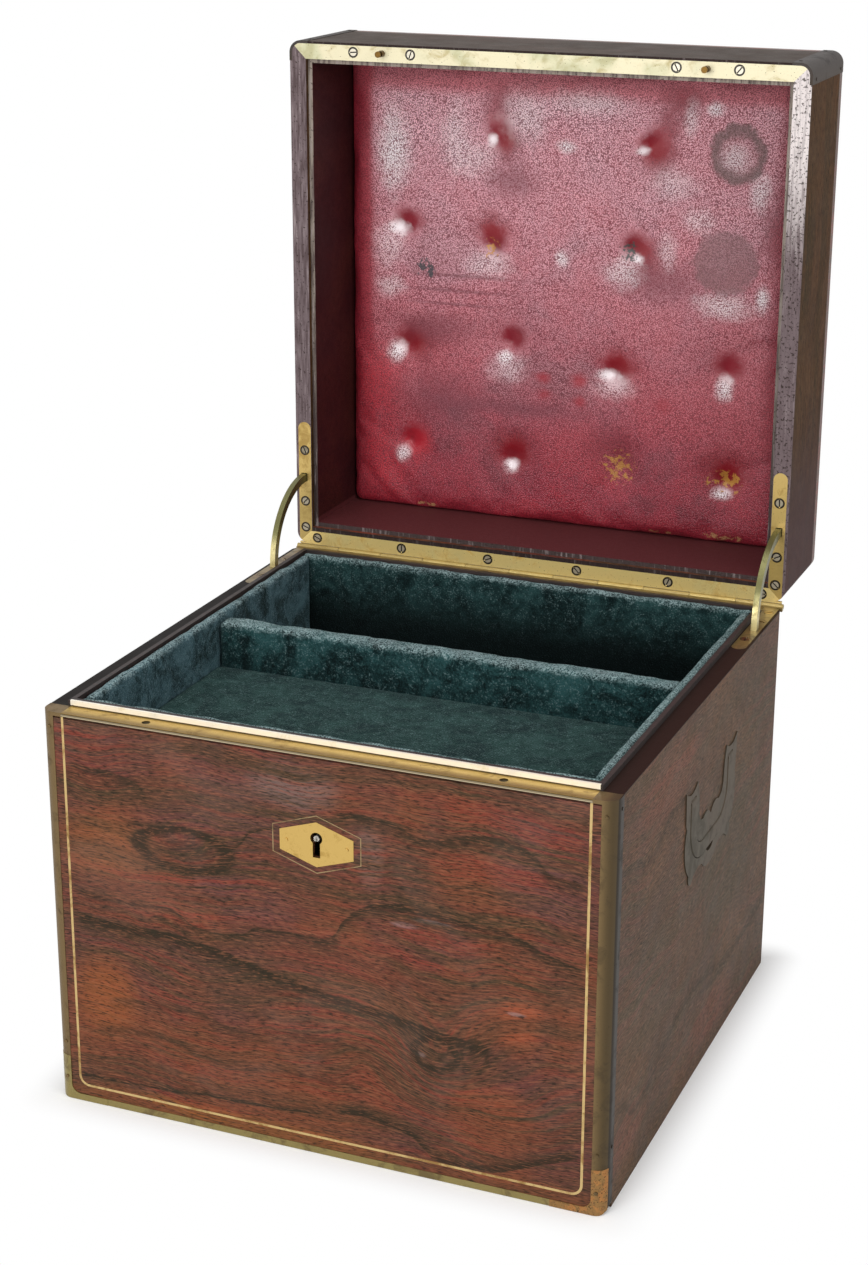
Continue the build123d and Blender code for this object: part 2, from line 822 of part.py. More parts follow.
def back_panel():
    """The back board, with the hinge leaf let into its rim."""
    panel = case_board("back") - rim_brass_cut()
    return panel - screw_holes(leaf_screw_points(), rim, True)


def right_panel():
    """The right board, with the side plate, stay and handle let in."""
    panel = case_board("right")
    for cut in (rim_brass_cut(), stay_pocket(), handle_seat(), bail_recess()):
        panel -= cut
    panel -= corner_cut()
    panel -= block(strip_end, half_width, front_face, front_face + board, rim - rim_plate, rim)
    panel -= moulding_pin_blanks(running_gap)
    return panel - screw_holes(plate_screw_points(), rim, True)


def bottom_board():
    """The bottom, set up between the boards."""
    return block(-case_inner_x, case_inner_x, -case_inner_y, case_inner_y, 0, bottom_thickness)


def liner_boards():
    """The four thin boards inside the case, whose tops make the lip."""
    x, y = case_inner_x, case_inner_y
    low = bottom_thickness
    front = block(-x, x, -y, -y + front_liner_thickness, low, lip_top) - front_lip_strip()
    back = block(-x, x, y - side_liner, y, low, lip_top)
    right = block(x - side_liner, x, -y + front_liner_thickness, y - side_liner, low, lip_top)
    return [front, back, right, flip_x(right)]


# ---------------------------------------------------------------- lining and compartments


def side_lining():
    """The right wall's velvet-covered board."""
    return block(lining_x - lining, lining_x, bay_front, bay_back, lining_foot, lining_top)


def front_lining():
    """The front wall's velvet-covered board."""
    return block(-lining_x, lining_x, lining_front, lining_front + lining, lining_foot, lining_top)


def back_lining():
    """The back wall's velvet-covered board."""
    return block(-lining_x, lining_x, lining_back - lining, lining_back, lining_foot, lining_top)


def divider():
    """The velvet-covered partition between the two compartments."""
    return block(-bay_x, bay_x, divider_front, divider_front + divider_thickness,
                 lining_foot, rim - divider_below_rim)


def tray_floor():
    """The floor of the shallow front compartment."""
    top = rim - tray_depth
    return block(-bay_x, bay_x, bay_front, divider_front - lining_gap, top - tray_floor_thickness, top)


def tray_bearers():
    """Two battens under the shallow floor, glued to the side linings."""
    top = rim - tray_depth - tray_floor_thickness
    bearer = block(bay_x - bearer_size, bay_x, bay_front, divider_front - lining_gap, top - bearer_size, top)
    return [bearer, flip_x(bearer)]


def deep_floor():
    """The floor of the deep back compartment."""
    back = divider_front + divider_thickness + lining_gap
    return block(-bay_x, bay_x, back, bay_back, lining_foot, lining_foot + deep_floor_thickness)


# ---------------------------------------------------------------- lid, made shut


def lid_strip():
    """The brass along the lid's front rim, mitred at the corners."""
    y0 = front_face + lid_strip_margin
    y1 = front_face + lid_board
    x0 = half_width - lid_strip_margin
    inset = y1 - y0
    plan = Polygon((-x0, y0), (x0, y0), (x0 - inset, y1), (inset - x0, y1), align=None)
    skin = outline_plan(brass_proud - moulding_thickness)
    return upright(plan & skin, lid_rim, lid_rim + rim_plate)


def lid_strip_fitted():
    """The lid's strip with its stud and screw holes."""
    strip = lid_strip() - screw_holes(strip_screw_points(), lid_rim, False)
    return strip - [stud_blank(side, running_gap) for side in (-1, 1)]


def lid_moulding():
    """The right front corner's angle up the height of the lid."""
    return corner_angle(lid_wing, lid_wing, lid_rim, lid_top - lid_top_round)


def lid_board_piece(side):
    """One mitred wall of the lid, with a rounded upper edge, before its cuts."""
    walls = ring(lid_board, lid_rim, lid_ceiling)
    return walls & mitre_wedge(side, lid_board, lid_rim, lid_ceiling)


def lid_top_board():
    """The lid's top, rounded over at its edges."""
    top = upright(outline_plan(), lid_ceiling, lid_top)
    top = fillet(top.faces().sort_by(Axis.Z)[-1].edges(), lid_top_round)
    for cut in (lid_moulding(), flip_x(lid_moulding())):
        top -= cut
    pins = lid_pin_blanks(running_gap)
    return top - pins - [flip_x(pin) for pin in pins]


def lid_front():
    """The lid's front wall."""
    wall = lid_board_piece("front") - lid_strip()
    for cut in [lid_moulding()] + lid_pin_blanks(running_gap):
        wall -= cut
        wall -= flip_x(cut)
    wall -= [stud_blank(side, running_gap) for side in (-1, 1)]
    return wall - screw_holes(strip_screw_points(), lid_rim, False)


def lid_back():
    """The lid's back wall."""
    wall = lid_board_piece("back") - flip_rim(rim_brass_cut())
    return wall - screw_holes(leaf_screw_points(), lid_rim, False)


def lid_right():
    """The lid's right wall, with the side plate and stay let in."""
    wall = lid_board_piece("right") - lid_strip() - lid_moulding()
    for cut in (rim_brass_cut(), stay_pocket()):
        wall -= flip_rim(cut)
    wall -= lid_pin_blanks(running_gap)
    return wall - screw_holes(plate_screw_points(), lid_rim, False)


def lid_liner_boards():
    """The four leather-covered boards inside the lid's walls."""
    x, y, t = lid_inner_x, lid_inner_y, lid_liner
    front = block(-x, x, -y, t - y, lid_liner_bottom, lid_ceiling)
    back = block(-x, x, y - t, y, lid_liner_bottom, lid_ceiling)
    right = block(x - t, x, t - y, y - t, lid_liner_bottom, lid_ceiling)
    return [front, back, right, flip_x(right)]


def lid_pad():
    """The stuffed leather pad on the lid's ceiling, as a plain slab."""
    x = lid_inner_x - lid_liner - pad_gap
    y = lid_inner_y - lid_liner - pad_gap
    return block(-x, x, -y, y, lid_ceiling - pad_thickness, lid_ceiling - pad_gap)


# ---------------------------------------------------------------- the sub-parts by name


def case_parts():
    """Every node that stays with the case."""
    plate = rim_side_plate() - stay_slot() - screw_holes(plate_screw_points(), rim, True)
    leaf = hinge_leaf(0) - screw_holes(leaf_screw_points(), rim, True)
    moulding = corner_moulding() - moulding_pin_blanks(running_gap)
    cap = corner_cap() - moulding_pin_blanks(running_gap)
    pins = moulding_pin_blanks()
    bail_pivots = bail_pins()
    right = right_panel()
    return {
        "front_panel": front_panel(),
        "back_panel": back_panel(),
        "right_panel": right,
        "left_panel": flip_x(right),
        "bottom_board": bottom_board(),
        "liner_boards": group(liner_boards()),
        "front_rim_strip": front_rim_strip(),
        "front_lip_strip": front_lip_strip(),
        "right_corner_moulding": moulding,
        "left_corner_moulding": flip_x(moulding),
        "right_corner_cap": cap,
        "left_corner_cap": flip_x(cap),
        "base_strip": base_strip(),
        "moulding_pins": group(pins + [flip_x(pin) for pin in pins]),
        "stringing": stringing(),
        "escutcheon": escutcheon(),
        "escutcheon_line": escutcheon_line(),
        "escutcheon_pins": group(escutcheon_pin_blanks()),
        "lock_case": lock_case(),
        "lock_pin": lock_pin(),
        "case_hinge_leaf": leaf,
        "hinge_pin": rod(hinge_pin_radius, (-half_width, hinge_y, hinge_z), (half_width, hinge_y, hinge_z)),
        "right_case_plate": plate,
        "left_case_plate": flip_x(plate),
        "case_screws": group(screws(leaf_screw_points() + plate_screw_points(), rim, True)),
        "right_handle_plate": handle_plate(),
        "left_handle_plate": flip_x(handle_plate()),
        "handle_pivots": group(bail_pivots + [flip_x(pin) for pin in bail_pivots]),
        "right_lining": side_lining(),
        "left_lining": flip_x(side_lining()),
        "front_lining": front_lining(),
        "back_lining": back_lining(),
        "divider": divider(),
        "tray_floor": tray_floor(),
        "tray_bearers": group(tray_bearers()),
        "deep_floor": deep_floor(),
    }


def lid_parts():
    """Every node that swings with the lid, still shut."""
    plate = flip_rim(rim_side_plate() - stay_slot() - screw_holes(plate_screw_points(), rim, True))
    leaf = flip_rim(hinge_leaf(1) - screw_holes(leaf_screw_points(), rim, True))
    moulding = lid_moulding() - lid_pin_blanks(running_gap)
    pins = lid_pin_blanks()
    points = leaf_screw_points() + plate_screw_points() + strip_screw_points()
    right = lid_right()
    return {
        "lid_top": lid_top_board(),
        "lid_front": lid_front(),
        "lid_back": lid_back(),
        "lid_right": right,
        "lid_left": flip_x(right),
        "lid_liners": group(lid_liner_boards()),
        "lid_pad": lid_pad(),
        "lid_rim_strip": lid_strip_fitted(),
        "lid_studs": group([stud(side) for side in (-1, 1)]),
        "right_lid_moulding": moulding,
        "left_lid_moulding": flip_x(moulding),
        "lid_moulding_pins": group(pins + [flip_x(pin) for pin in pins]),
        "lid_hinge_leaf": leaf,
        "right_lid_plate": plate,
        "left_lid_plate": flip_x(plate),
        "lid_screws": group(screws(points, lid_rim, False)),
    }


def moving_parts():
    """The pieces that move by themselves or follow the lid."""
    return {
        "lock_bolt": lock_bolt(),
        "right_handle_bail": handle_bail(),
        "left_handle_bail": flip_x(handle_bail()),
        "right_stay": stay(),
        "left_stay": flip_x(stay()),
    }


def main():
    os.makedirs("parts", exist_ok=True)
    parts = case_parts()
    for name, part in lid_parts().items():
        parts[name] = swing_open(part)
    parts.update(moving_parts())
    for name, part in parts.items():
        export_step(part, f"parts/{name}.step")


main()
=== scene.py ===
"""Dresses the brass-bound apothecary box: rosewood, brass, velvet, leather, studio and camera."""

import logging
import math
from dataclasses import dataclass, replace
from enum import Enum
from typing import Any, Dict, List, Optional, Sequence, Tuple, Union

import bpy
import numpy as np
from mathutils import Matrix, Vector


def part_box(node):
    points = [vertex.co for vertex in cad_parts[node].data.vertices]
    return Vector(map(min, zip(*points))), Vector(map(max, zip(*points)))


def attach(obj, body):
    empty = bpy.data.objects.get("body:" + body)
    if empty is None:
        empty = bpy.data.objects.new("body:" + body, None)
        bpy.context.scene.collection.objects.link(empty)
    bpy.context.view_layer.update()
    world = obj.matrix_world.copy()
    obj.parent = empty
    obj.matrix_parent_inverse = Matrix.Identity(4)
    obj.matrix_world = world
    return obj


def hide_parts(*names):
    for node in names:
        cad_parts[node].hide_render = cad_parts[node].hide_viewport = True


LOG = logging.getLogger("apothecary_box")
MM = 0.001
IMAGE_SIZE = (868, 1265)

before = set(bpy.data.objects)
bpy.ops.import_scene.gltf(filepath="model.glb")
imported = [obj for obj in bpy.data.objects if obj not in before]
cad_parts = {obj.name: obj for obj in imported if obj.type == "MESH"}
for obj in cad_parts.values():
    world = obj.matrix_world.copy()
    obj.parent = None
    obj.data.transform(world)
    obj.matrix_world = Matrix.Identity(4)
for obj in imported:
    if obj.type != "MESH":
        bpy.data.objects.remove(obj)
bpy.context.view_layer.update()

Colour = Tuple[float, float, float, float]
Point2 = Tuple[float, float]
Point3 = Tuple[float, float, float]
Value = Union[float, int, Point3, Colour, "Signal"]

# A squared distance, in square millimetres, that nothing on the box reaches.
FAR_OFF = 1e6
# A length, in metres, that keeps a division from failing.
NO_LENGTH = 1e-9


# ---------------------------------------------------------------- shader building


def tint(code: str) -> Colour:
    """Turns a colour as it is seen into the linear colour a shader takes.

    Args:
        code: Six hexadecimal digits, two each for red, green and blue.

    Returns:
        The linear colour with full alpha.
    """
    parts = [int(code[i:i + 2], 16) / 255 for i in (0, 2, 4)]
    linear = [c / 12.92 if c <= 0.04045 else ((c + 0.055) / 1.055) ** 2.4 for c in parts]
    return (linear[0], linear[1], linear[2], 1.0)


class Signal:
    """One output socket, which adds Math nodes when it is used in arithmetic."""

    def __init__(self, graph: "Graph", socket: bpy.types.NodeSocket) -> None:
        """Keeps the graph and the socket it reads."""
        self.graph = graph
        self.socket = socket

    def _math(self, operation: str, *terms: Value) -> "Signal":
        """Adds one Math node over the given terms."""
        return self.graph.node("ShaderNodeMath", {"operation": operation}, dict(enumerate(terms)))

    def __add__(self, other: Value) -> "Signal":
        """The sum."""
        return self._math("ADD", self, other)

    __radd__ = __add__

    def __sub__(self, other: Value) -> "Signal":
        """The difference."""
        return self._math("SUBTRACT", self, other)

    def __rsub__(self, other: Value) -> "Signal":
        """The difference, the other way round."""
        return self._math("SUBTRACT", other, self)

    def __mul__(self, other: Value) -> "Signal":
        """The product."""
        return self._math("MULTIPLY", self, other)

    __rmul__ = __mul__

    def __truediv__(self, other: Value) -> "Signal":
        """The quotient."""
        return self._math("DIVIDE", self, other)

    def __rtruediv__(self, other: Value) -> "Signal":
        """The quotient, the other way round."""
        return self._math("DIVIDE", other, self)

    def __neg__(self) -> "Signal":
        """The negative."""
        return self._math("MULTIPLY", self, -1.0)

    def __abs__(self) -> "Signal":
        """The size without its sign."""
        return self._math("ABSOLUTE", self)

    def least(self, other: Value) -> "Signal":
        """The smaller of two values."""
        return self._math("MINIMUM", self, other)

    def most(self, other: Value) -> "Signal":
        """The larger of two values."""
        return self._math("MAXIMUM", self, other)

    def root(self) -> "Signal":
        """The square root."""
        return self._math("SQRT", self)

    def ease(self, low: Value, high: Value) -> "Signal":
        """Climbs smoothly from 0 at low to 1 at high, and the other way if low is above high."""
        sockets = {"Value": self, "From Min": low, "From Max": high}
        return self.graph.node("ShaderNodeMapRange", {"interpolation_type": "SMOOTHSTEP"}, sockets)

    def window(self, low: float, high: float, fade: float) -> "Signal":
        """Is 1 between low and high and fades out over a distance outside them."""
        return self.ease(low - fade, low) * self.ease(high + fade, high)


class Graph:
    """The node tree of a material or a world, filled by one general node maker."""

    def __init__(self, owner: Union[bpy.types.Material, bpy.types.World]) -> None:
        """Empties the owner's tree.

        Args:
            owner: The material or world to fill.
        """
        owner.use_nodes = True
        self.owner = owner
        self.tree = owner.node_tree
        self.tree.nodes.clear()
        self._place: Optional[Signal] = None
        self._axes: List[Signal] = []

    @classmethod
    def material(cls, name: str) -> "Graph":
        """The tree of a new material."""
        return cls(bpy.data.materials.new(name))

    def node(self, kind: str, settings: Optional[Dict[str, Any]] = None,
             sockets: Optional[Dict[Union[int, str], Value]] = None, out: Union[int, str] = 0) -> Signal:
        """Adds a node of any kind.

        Args:
            kind: The node's type name.
            settings: Its own settings, set first. "points" fills a float curve.
            sockets: Values or signals for its inputs, by name or number.
            out: Which output to return.

        Returns:
            The chosen output.
        """
        made = self.tree.nodes.new(kind)
        for key, value in (settings or {}).items():
            if key == "points":
                self._fill_curve(made.mapping, value)
            else:
                setattr(made, key, value)
        for key, value in (sockets or {}).items():
            if isinstance(value, Signal):
                self.tree.links.new(value.socket, made.inputs[key])
            else:
                made.inputs[key].default_value = value
        return Signal(self, made.outputs[out])

    @staticmethod
    def _fill_curve(mapping: bpy.types.CurveMapping, points: Sequence[Point2]) -> None:
        """Gives a float curve its points.

        Args:
            mapping: The curve node's mapping.
            points: The knots, each from 0 to 1 along and up.
        """
        curve = mapping.curves[0]
        while len(curve.points) < len(points):
            curve.points.new(0.5, 0.5)
        for knot, place in zip(curve.points, points):
            knot.location = place
        mapping.update()

    def place(self) -> Signal:
        """The point on the piece.

        Returns:
            The object's own coordinates, in metres.
        """
        if self._place is None:
            self._place = self.node("ShaderNodeTexCoord", out="Object")
        return self._place

    def spot(self) -> Signal:
        """The point on the piece.

        Returns:
            The object's own coordinates, in millimetres.
        """
        per_metre = 1.0 / MM
        sockets: Dict[Union[int, str], Value] = {0: self.place(), 1: (per_metre, per_metre, per_metre)}
        return self.node("ShaderNodeVectorMath", {"operation": "MULTIPLY"}, sockets)

    def axes(self) -> List[Signal]:
        """The point on the piece, taken apart.

        Returns:
            Its X, Y and Z, in millimetres.
        """
        if not self._axes:
            spot = self.spot()
            self._axes = [self.node("ShaderNodeSeparateXYZ", {}, {0: spot}, i) for i in range(3)]
        return self._axes

    def vector(self, x: Value, y: Value, z: Value) -> Signal:
        """A vector made of three values."""
        return self.node("ShaderNodeCombineXYZ", {}, {0: x, 1: y, 2: z})

    def noise(self, vector: Value, scale: float, detail: float = 2.0, rough: float = 0.5,
              bend: float = 0.0) -> Signal:
        """Smooth noise about 0.5, one feature to 1 / scale units of the vector."""
        sockets = {"Vector": vector, "Scale": scale, "Detail": detail, "Roughness": rough, "Distortion": bend}
        return self.node("ShaderNodeTexNoise", {}, sockets, "Fac")

    def cells(self, vector: Value, scale: float) -> Signal:
        """The distance to the nearest of scattered points."""
        return self.node("ShaderNodeTexVoronoi", {}, {"Vector": vector, "Scale": scale}, "Distance")

    def mix(self, factor: Value, first: Value, second: Value) -> Signal:
        """Mixes two colours."""
        settings = {"data_type": "RGBA", "clamp_factor": True}
        return self.node("ShaderNodeMix", settings, {0: factor, 6: first, 7: second}, 2)

    def bump(self, height: Signal, depth: float) -> Signal:
        """A normal shaped by a height of 0 to 1 that stands for a depth in metres."""
        sockets = {"Height": height, "Distance": depth, "Strength": 1.0}
        return self.node("ShaderNodeBump", {}, sockets, "Normal")

    def seen(self) -> Signal:
        """Tells what is seen from what only gives light.

        Returns:
            1 for what the camera sees directly, mirrored or through glass, and 0 for the rest.
        """
        camera, glossy, through = (
            self.node("ShaderNodeLightPath", out=ray)
            for ray in ("Is Camera Ray", "Is Glossy Ray", "Is Transmission Ray"))
        return camera.most(glossy).most(through)

    def finish(self, **sockets: Value) -> bpy.types.Material:
        """Ends the tree in one principled shader.

        Args:
            sockets: Its inputs, with underscores for the spaces in their names.

        Returns:
            The finished material.
        """
        named = {key.replace("_", " "): value for key, value in sockets.items()}
        return self.close(self.node("ShaderNodeBsdfPrincipled", {}, named))

    def close(self, shader: Signal) -> Union[bpy.types.Material, bpy.types.World]:
        """Joins a shader to the owner's surface.

        Args:
            shader: The shader.

        Returns:
            The finished material or world.
        """
        kind = "World" if isinstance(self.owner, bpy.types.World) else "Material"
        made = self.tree.nodes.new("ShaderNodeOutput" + kind)
        self.tree.links.new(shader.socket, made.inputs["Surface"])
        return self.owner


def spread(first: Signal, second: Signal, centre: Point2, reach: Point2) -> Signal:
    """The squared distance from a centre, with each axis measured in its own reach.

    Args:
        first: The place along one axis.
        second: The place along the other.
        centre: The centre's place along both.
        reach: The reach along both.

    Returns:
        0 at the centre and 1 on the ellipse that the reaches span.
    """
    u = (first - centre[0]) / reach[0]
    v = (second - centre[1]) / reach[1]
    return u * u + v * v


def nearest(first: Signal, second: Signal, centres: Sequence[Point2]) -> Signal:
    """The distance to the nearest of several centres, in millimetres.

    Args:
        first: The place along one axis.
        second: The place along the other.
        centres: The centres' places along both.

    Returns:
        The square root of the smallest squared distance.
    """
    near = first * 0.0 + FAR_OFF
    for a, b in centres:
        across = first - a
        up = second - b
        near = near.least(across * across + up * up)
    return near.root()


@dataclass(frozen=True)
class Zone:
    """Where a piece takes another colour, by its place along one axis, in millimetres.

    Attributes:
        axis: 0, 1 or 2 for X, Y or Z.
        start: Where the change begins.
        end: Where it is complete.
        colour: The colour there.
        amount: How far it changes.
    """

    axis: int
    start: float
    end: float
    colour: str
    amount: float = 1.0

    def over(self, g: Graph, colour: Signal) -> Signal:
        """The colour with the zone's own over it."""
        return g.mix(g.axes()[self.axis].ease(self.start, self.end) * self.amount, colour, tint(self.colour))


@dataclass(frozen=True)
class Heads:
    """Screws or studs in a plate, round which the plate is painted with the shade of the gap.

    Attributes:
        axes: The two axes of the plate's plane.
        centres: Their places along those axes, in millimetres.
        radius: The radius of a head.
        gap: The width of the painted shade round it.
    """

    axes: Tuple[int, int]
    centres: Tuple[Point2, ...]
    radius: float = 2.7
    gap: float = 0.2

    def over(self, g: Graph, colour: Signal) -> Signal:
        """The colour with a ring of painted shade round each head.

        Args:
            g: The material's graph.
            colour: The colour so far.

        Returns:
            The new colour.
        """
        first, second = (g.axes()[i] for i in self.axes)
        # Painted shade: the gap round each head.
        ring = nearest(first, second, self.centres).window(self.radius, self.radius + self.gap, 0.25)
        return g.mix(ring, colour, tint("1c140c"))


@dataclass(frozen=True)
class BareRim:
    """The bare face of a board's rim, specked with grime and paler towards its top.

    Attributes:
        start: Where the face begins along Y, in millimetres.
        end: Where it is complete.
        dull: Its colour below.
        pale: Its colour above.
        rise: Between which heights it turns pale.
        streaks: How strongly its grain shows.
        specked: How much of it is specked, from 0 to 1.
    """

    start: float
    end: float
    dull: str
    pale: str
    rise: Point2
    streaks: float = 0.7
    specked: float = 0.2

    def over(self, g: Graph, colour: Signal) -> Signal:
        """The colour with the rim's own over it.

        Args:
            g: The material's graph.
            colour: The colour so far.

        Returns:
            The new colour.
        """
        x, y, z = g.axes()
        wear = g.noise(g.vector(x * 0.6, y, z * 0.05), 1.0, 3.0, 0.6)
        least = 0.63 - self.specked * 0.12
        specks = g.noise(g.spot(), 0.6, 2.0, 0.7).ease(least, least + 0.04)
        paint = g.mix((z + wear * 60.0 - 30.0).ease(*self.rise), tint(self.dull), tint(self.pale))
        paint = g.mix(wear.ease(0.54, 0.38) * self.streaks, paint, tint("4a3c3c"))
        paint = g.mix(wear.ease(0.54, 0.70) * self.streaks * 0.7, paint, tint("a89a9a"))
        paint = g.mix(specks * 0.8, paint, tint("2c221c"))
        return g.mix(y.ease(self.start, self.end), colour, paint)


def dress(finish: "Finish", *names: str) -> None:
    """Gives CAD nodes a finish in place of their plain one.

    Args:
        finish: The finish.
        names: The nodes.
    """
    material = finish.build()
    for name in names:
        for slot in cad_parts[name].material_slots:
            slot.material = material
        LOG.info("%s: %s", name, material.name)


# ---------------------------------------------------------------- wood


class Grain(Enum):
    """Which axes run along a board's grain, across it and through its thickness."""

    WIDE = (0, 2, 1)
    SIDE = (1, 2, 0)
    LID_SIDE = (2, 1, 0)
    LID_FRONT = (0, 1, 2)


@dataclass(frozen=True)
class Vein:
    """A dark line in the wood, drawn through points in millimetres.

    Attributes:
        points: Places along and across the grain.
        above: How far the shade reaches on the upper side.
        below: How far it reaches on the lower side.
        depth: How dark it is, from 0 to 1.
        fade: How gently its ends die away.
    """

    points: Tuple[Point2, ...]
    above: float = 4.0
    below: float = 1.5
    depth: float = 0.8
    fade: float = 8.0

    def shade(self, graph: Graph, along: Signal, across: Signal, wander: Signal) -> Signal:
        """Its darkness: 1 on the line, falling off to nothing at the two reaches.

        Args:
            graph: The material's graph.
            along: The place along the grain.
            across: The place across it.
            wander: How far the line is bent here, in millimetres.

        Returns:
            The darkness, from 0 to 1.
        """
        xs = [p[0] for p in self.points]
        zs = [p[1] for p in self.points]
        low, high = min(zs) - 1.0, max(zs) + 1.0
        knots = [((x - xs[0]) / (xs[-1] - xs[0]), (z - low) / (high - low)) for x, z in self.points]
        part = (along - xs[0]) / (xs[-1] - xs[0])
        line = graph.node("ShaderNodeFloatCurve", {"points": knots}, {"Factor": 1.0, "Value": part})
        gap = across - (line * (high - low) + low) + wander
        reach = (gap / self.above).most(gap / -self.below)
        ends = along.window(xs[0] + self.fade, xs[-1] - self.fade, self.fade)
        return reach.ease(1.0, 0.0) * ends * self.depth


@dataclass(frozen=True)
class Knot:
    """A place the grain bends round.

    Attributes:
        centre: Its place along and across the grain, in millimetres.
        reach: Its half sizes along and across.
        lift: How far it pushes the grain lines, in millimetres.
        ring: How dark its own rim is, from 0 to 1.
    """

    centre: Point2
    reach: Point2
    lift: float
    ring: float = 0.0

    def push(self, graph: Graph, along: Signal, across: Signal) -> Tuple[Signal, Signal]:
        """How the knot bends and darkens the grain.

        Args:
            graph: The material's graph.
            along: The place along the grain.
            across: The place across it.

        Returns:
            The push, a bell over the reach, and the rim's darkness.
        """
        away = spread(along, across, self.centre, self.reach)
        bell = graph.node("ShaderNodeMath", {"operation": "EXPONENT"}, {0: -away}) * self.lift
        rim = (away.window(0.75, 1.1, 0.45) + away.ease(0.5, 0.1) * 0.6) * self.ring
        return bell, rim


@dataclass(frozen=True)
class Patch:
    """A soft area of another colour.

    Attributes:
        centre: Its place along and across the grain, in millimetres.
        reach: Its half sizes along and across.
        colour: Its colour.
        amount: How strong it is in its middle.
    """

    centre: Point2
    reach: Point2
    colour: str
    amount: float

    def over(self, g: Graph, along: Signal, across: Signal, worn: Signal, colour: Signal) -> Signal:
        """The colour with the patch over it, broken up by wear.

        Args:
            g: The material's graph.
            along: The place along the grain.
            across: The place across it.
            worn: The noise that breaks up its edge.
            colour: The colour so far.

        Returns:
            The new colour.
        """
        away = spread(along, across, self.centre, self.reach)
        inside = (away + worn * 1.6 - 0.8).ease(1.0, 0.0)
        return g.mix(inside * self.amount, colour, tint(self.colour))


@dataclass(frozen=True)
class Rosewood:
    """Polished rosewood, with its figure drawn by veins and knots.

    Attributes:
        name: The material's name.
        grain: How the board's grain lies.
        veins: Its dark lines.
        knots: What its grain bends round.
        patches: Its areas of another colour.
        base: The main colour.
        deep: The colour it drifts to.
        fire: The red streaks.
        olive: The brown bands.
        smoke: The green dark of the veins.
        glint: The palest streaks.
        fire_amount: How much red shows.
        smoke_amount: How much brown shows between the veins.
        haze: How grey the old polish is.
        zones: Where it takes another colour.
        seed: Moves the noise.
        roughness: The polish's roughness.
        shine: How much it mirrors.
    """

    name: str
    grain: Grain
    veins: Tuple[Vein, ...] = ()
    knots: Tuple[Knot, ...] = ()
    patches: Tuple[Patch, ...] = ()
    base: str = "6f3c26"
    deep: str = "58352f"
    fire: str = "7d3124"
    olive: str = "443321"
    smoke: str = "2c2718"
    glint: str = "8f593f"
    fire_amount: float = 0.8
    smoke_amount: float = 1.0
    haze: float = 0.08
    zones: Tuple[Union[Zone, BareRim], ...] = ()
    seed: float = 0.0
    roughness: float = 0.36
    shine: float = 0.14

    def build(self) -> bpy.types.Material:
        """Builds the material.

        The grain lines are the board's height, bent by two sizes of noise and pushed round the knots.
        Noise stretched along them gives bands, rings, streaks and pores, and the veins and patches lie
        on top.

        Returns:
            The material.
        """
        g = Graph.material(self.name)
        axes = g.axes()
        along, across, through = (axes[i] for i in self.grain.value)
        shift = self.seed * 37.0
        spot = g.vector(along + shift, across, through)
        drift = g.noise(spot, 0.011, 2.0, 0.5) * 2.0 - 1.0
        wander = g.noise(spot, 0.035, 2.0, 0.5) * 2.0 - 1.0
        line = across + drift * 14.0 + wander * 3.5
        rims: Signal = along * 0.0
        for knot in self.knots:
            push, rim = knot.push(g, along, across + wander * 3.0)
            line = line + push
            rims = rims.most(rim)
        grain = across + (line - across) * 0.45
        shade: Signal = rims
        for vein in self.veins:
            shade = shade.most(vein.shade(g, along, across, wander * 2.0))
        broad = g.noise(g.vector(along * 0.004 + shift, line * 0.085, through * 0.02), 1.0, 2.0, 0.5)
        bands = g.noise(g.vector(along * 0.007 + shift, line * 0.30, through * 0.05), 1.0, 3.0, 0.6)
        rings = g.noise(g.vector(along * 0.014 + shift, line * 0.95, through * 0.2), 1.0, 2.0, 0.6)
        streak = g.noise(g.vector(along * 0.10 + shift, grain * 1.5, through * 0.5), 1.0, 3.0, 0.6)
        pores = g.noise(g.vector(along * 0.24 + shift, grain * 1.4, through * 1.4), 1.0, 2.0, 0.6)
        clouds = g.noise(spot, 0.014, 3.0, 0.55)
        colour = g.mix(clouds.ease(0.40, 0.64), tint(self.deep), tint(self.base))
        for patch in self.patches:
            colour = patch.over(g, along, across, clouds, colour)
        lively = g.noise(spot, 0.018, 1.0, 0.5).ease(0.38, 0.60) * 0.75 + 0.25
        colour = g.mix(bands.ease(0.48, 0.62) * lively * self.fire_amount, colour, tint(self.fire))
        smoke = broad.ease(0.54, 0.38) * 0.5 + bands.ease(0.50, 0.38) * lively * 0.6
        colour = g.mix(smoke * self.smoke_amount, colour, tint(self.olive))
        colour = g.mix(rings.ease(0.48, 0.34) * 0.5, colour, tint(self.olive))
        colour = g.mix(shade * (streak * 0.4 + 0.7), colour, tint(self.smoke))
        colour = g.mix(shade.ease(0.55, 0.85) * 0.5, colour, tint("1e190e"))
        colour = g.mix(streak.ease(0.52, 0.70) * 0.45, colour, tint(self.glint))
        colour = g.mix(streak.ease(0.48, 0.32) * 0.5, colour, tint(self.smoke))
        colour = g.mix(pores.ease(0.48, 0.32) * 0.85, colour, tint("241a10"))
        colour = g.mix(pores.ease(0.54, 0.70) * 0.4, colour, tint(self.glint))
        haze = g.noise(spot, 0.016, 3.0, 0.6, 0.6).ease(0.48, 0.75) * self.haze
        colour = g.mix(haze, colour, tint("9c8078"))
        for zone in self.zones:
            colour = zone.over(g, colour)
        rough = g.noise(spot, 0.06, 3.0, 0.6) * 0.2 + (self.roughness - 0.1)
        ridges = g.bump(streak * 0.5 + pores * 0.5, 0.00012)
        return g.finish(Base_Color=colour, Roughness=rough, Normal=ridges,
                        Specular_IOR_Level=self.shine)


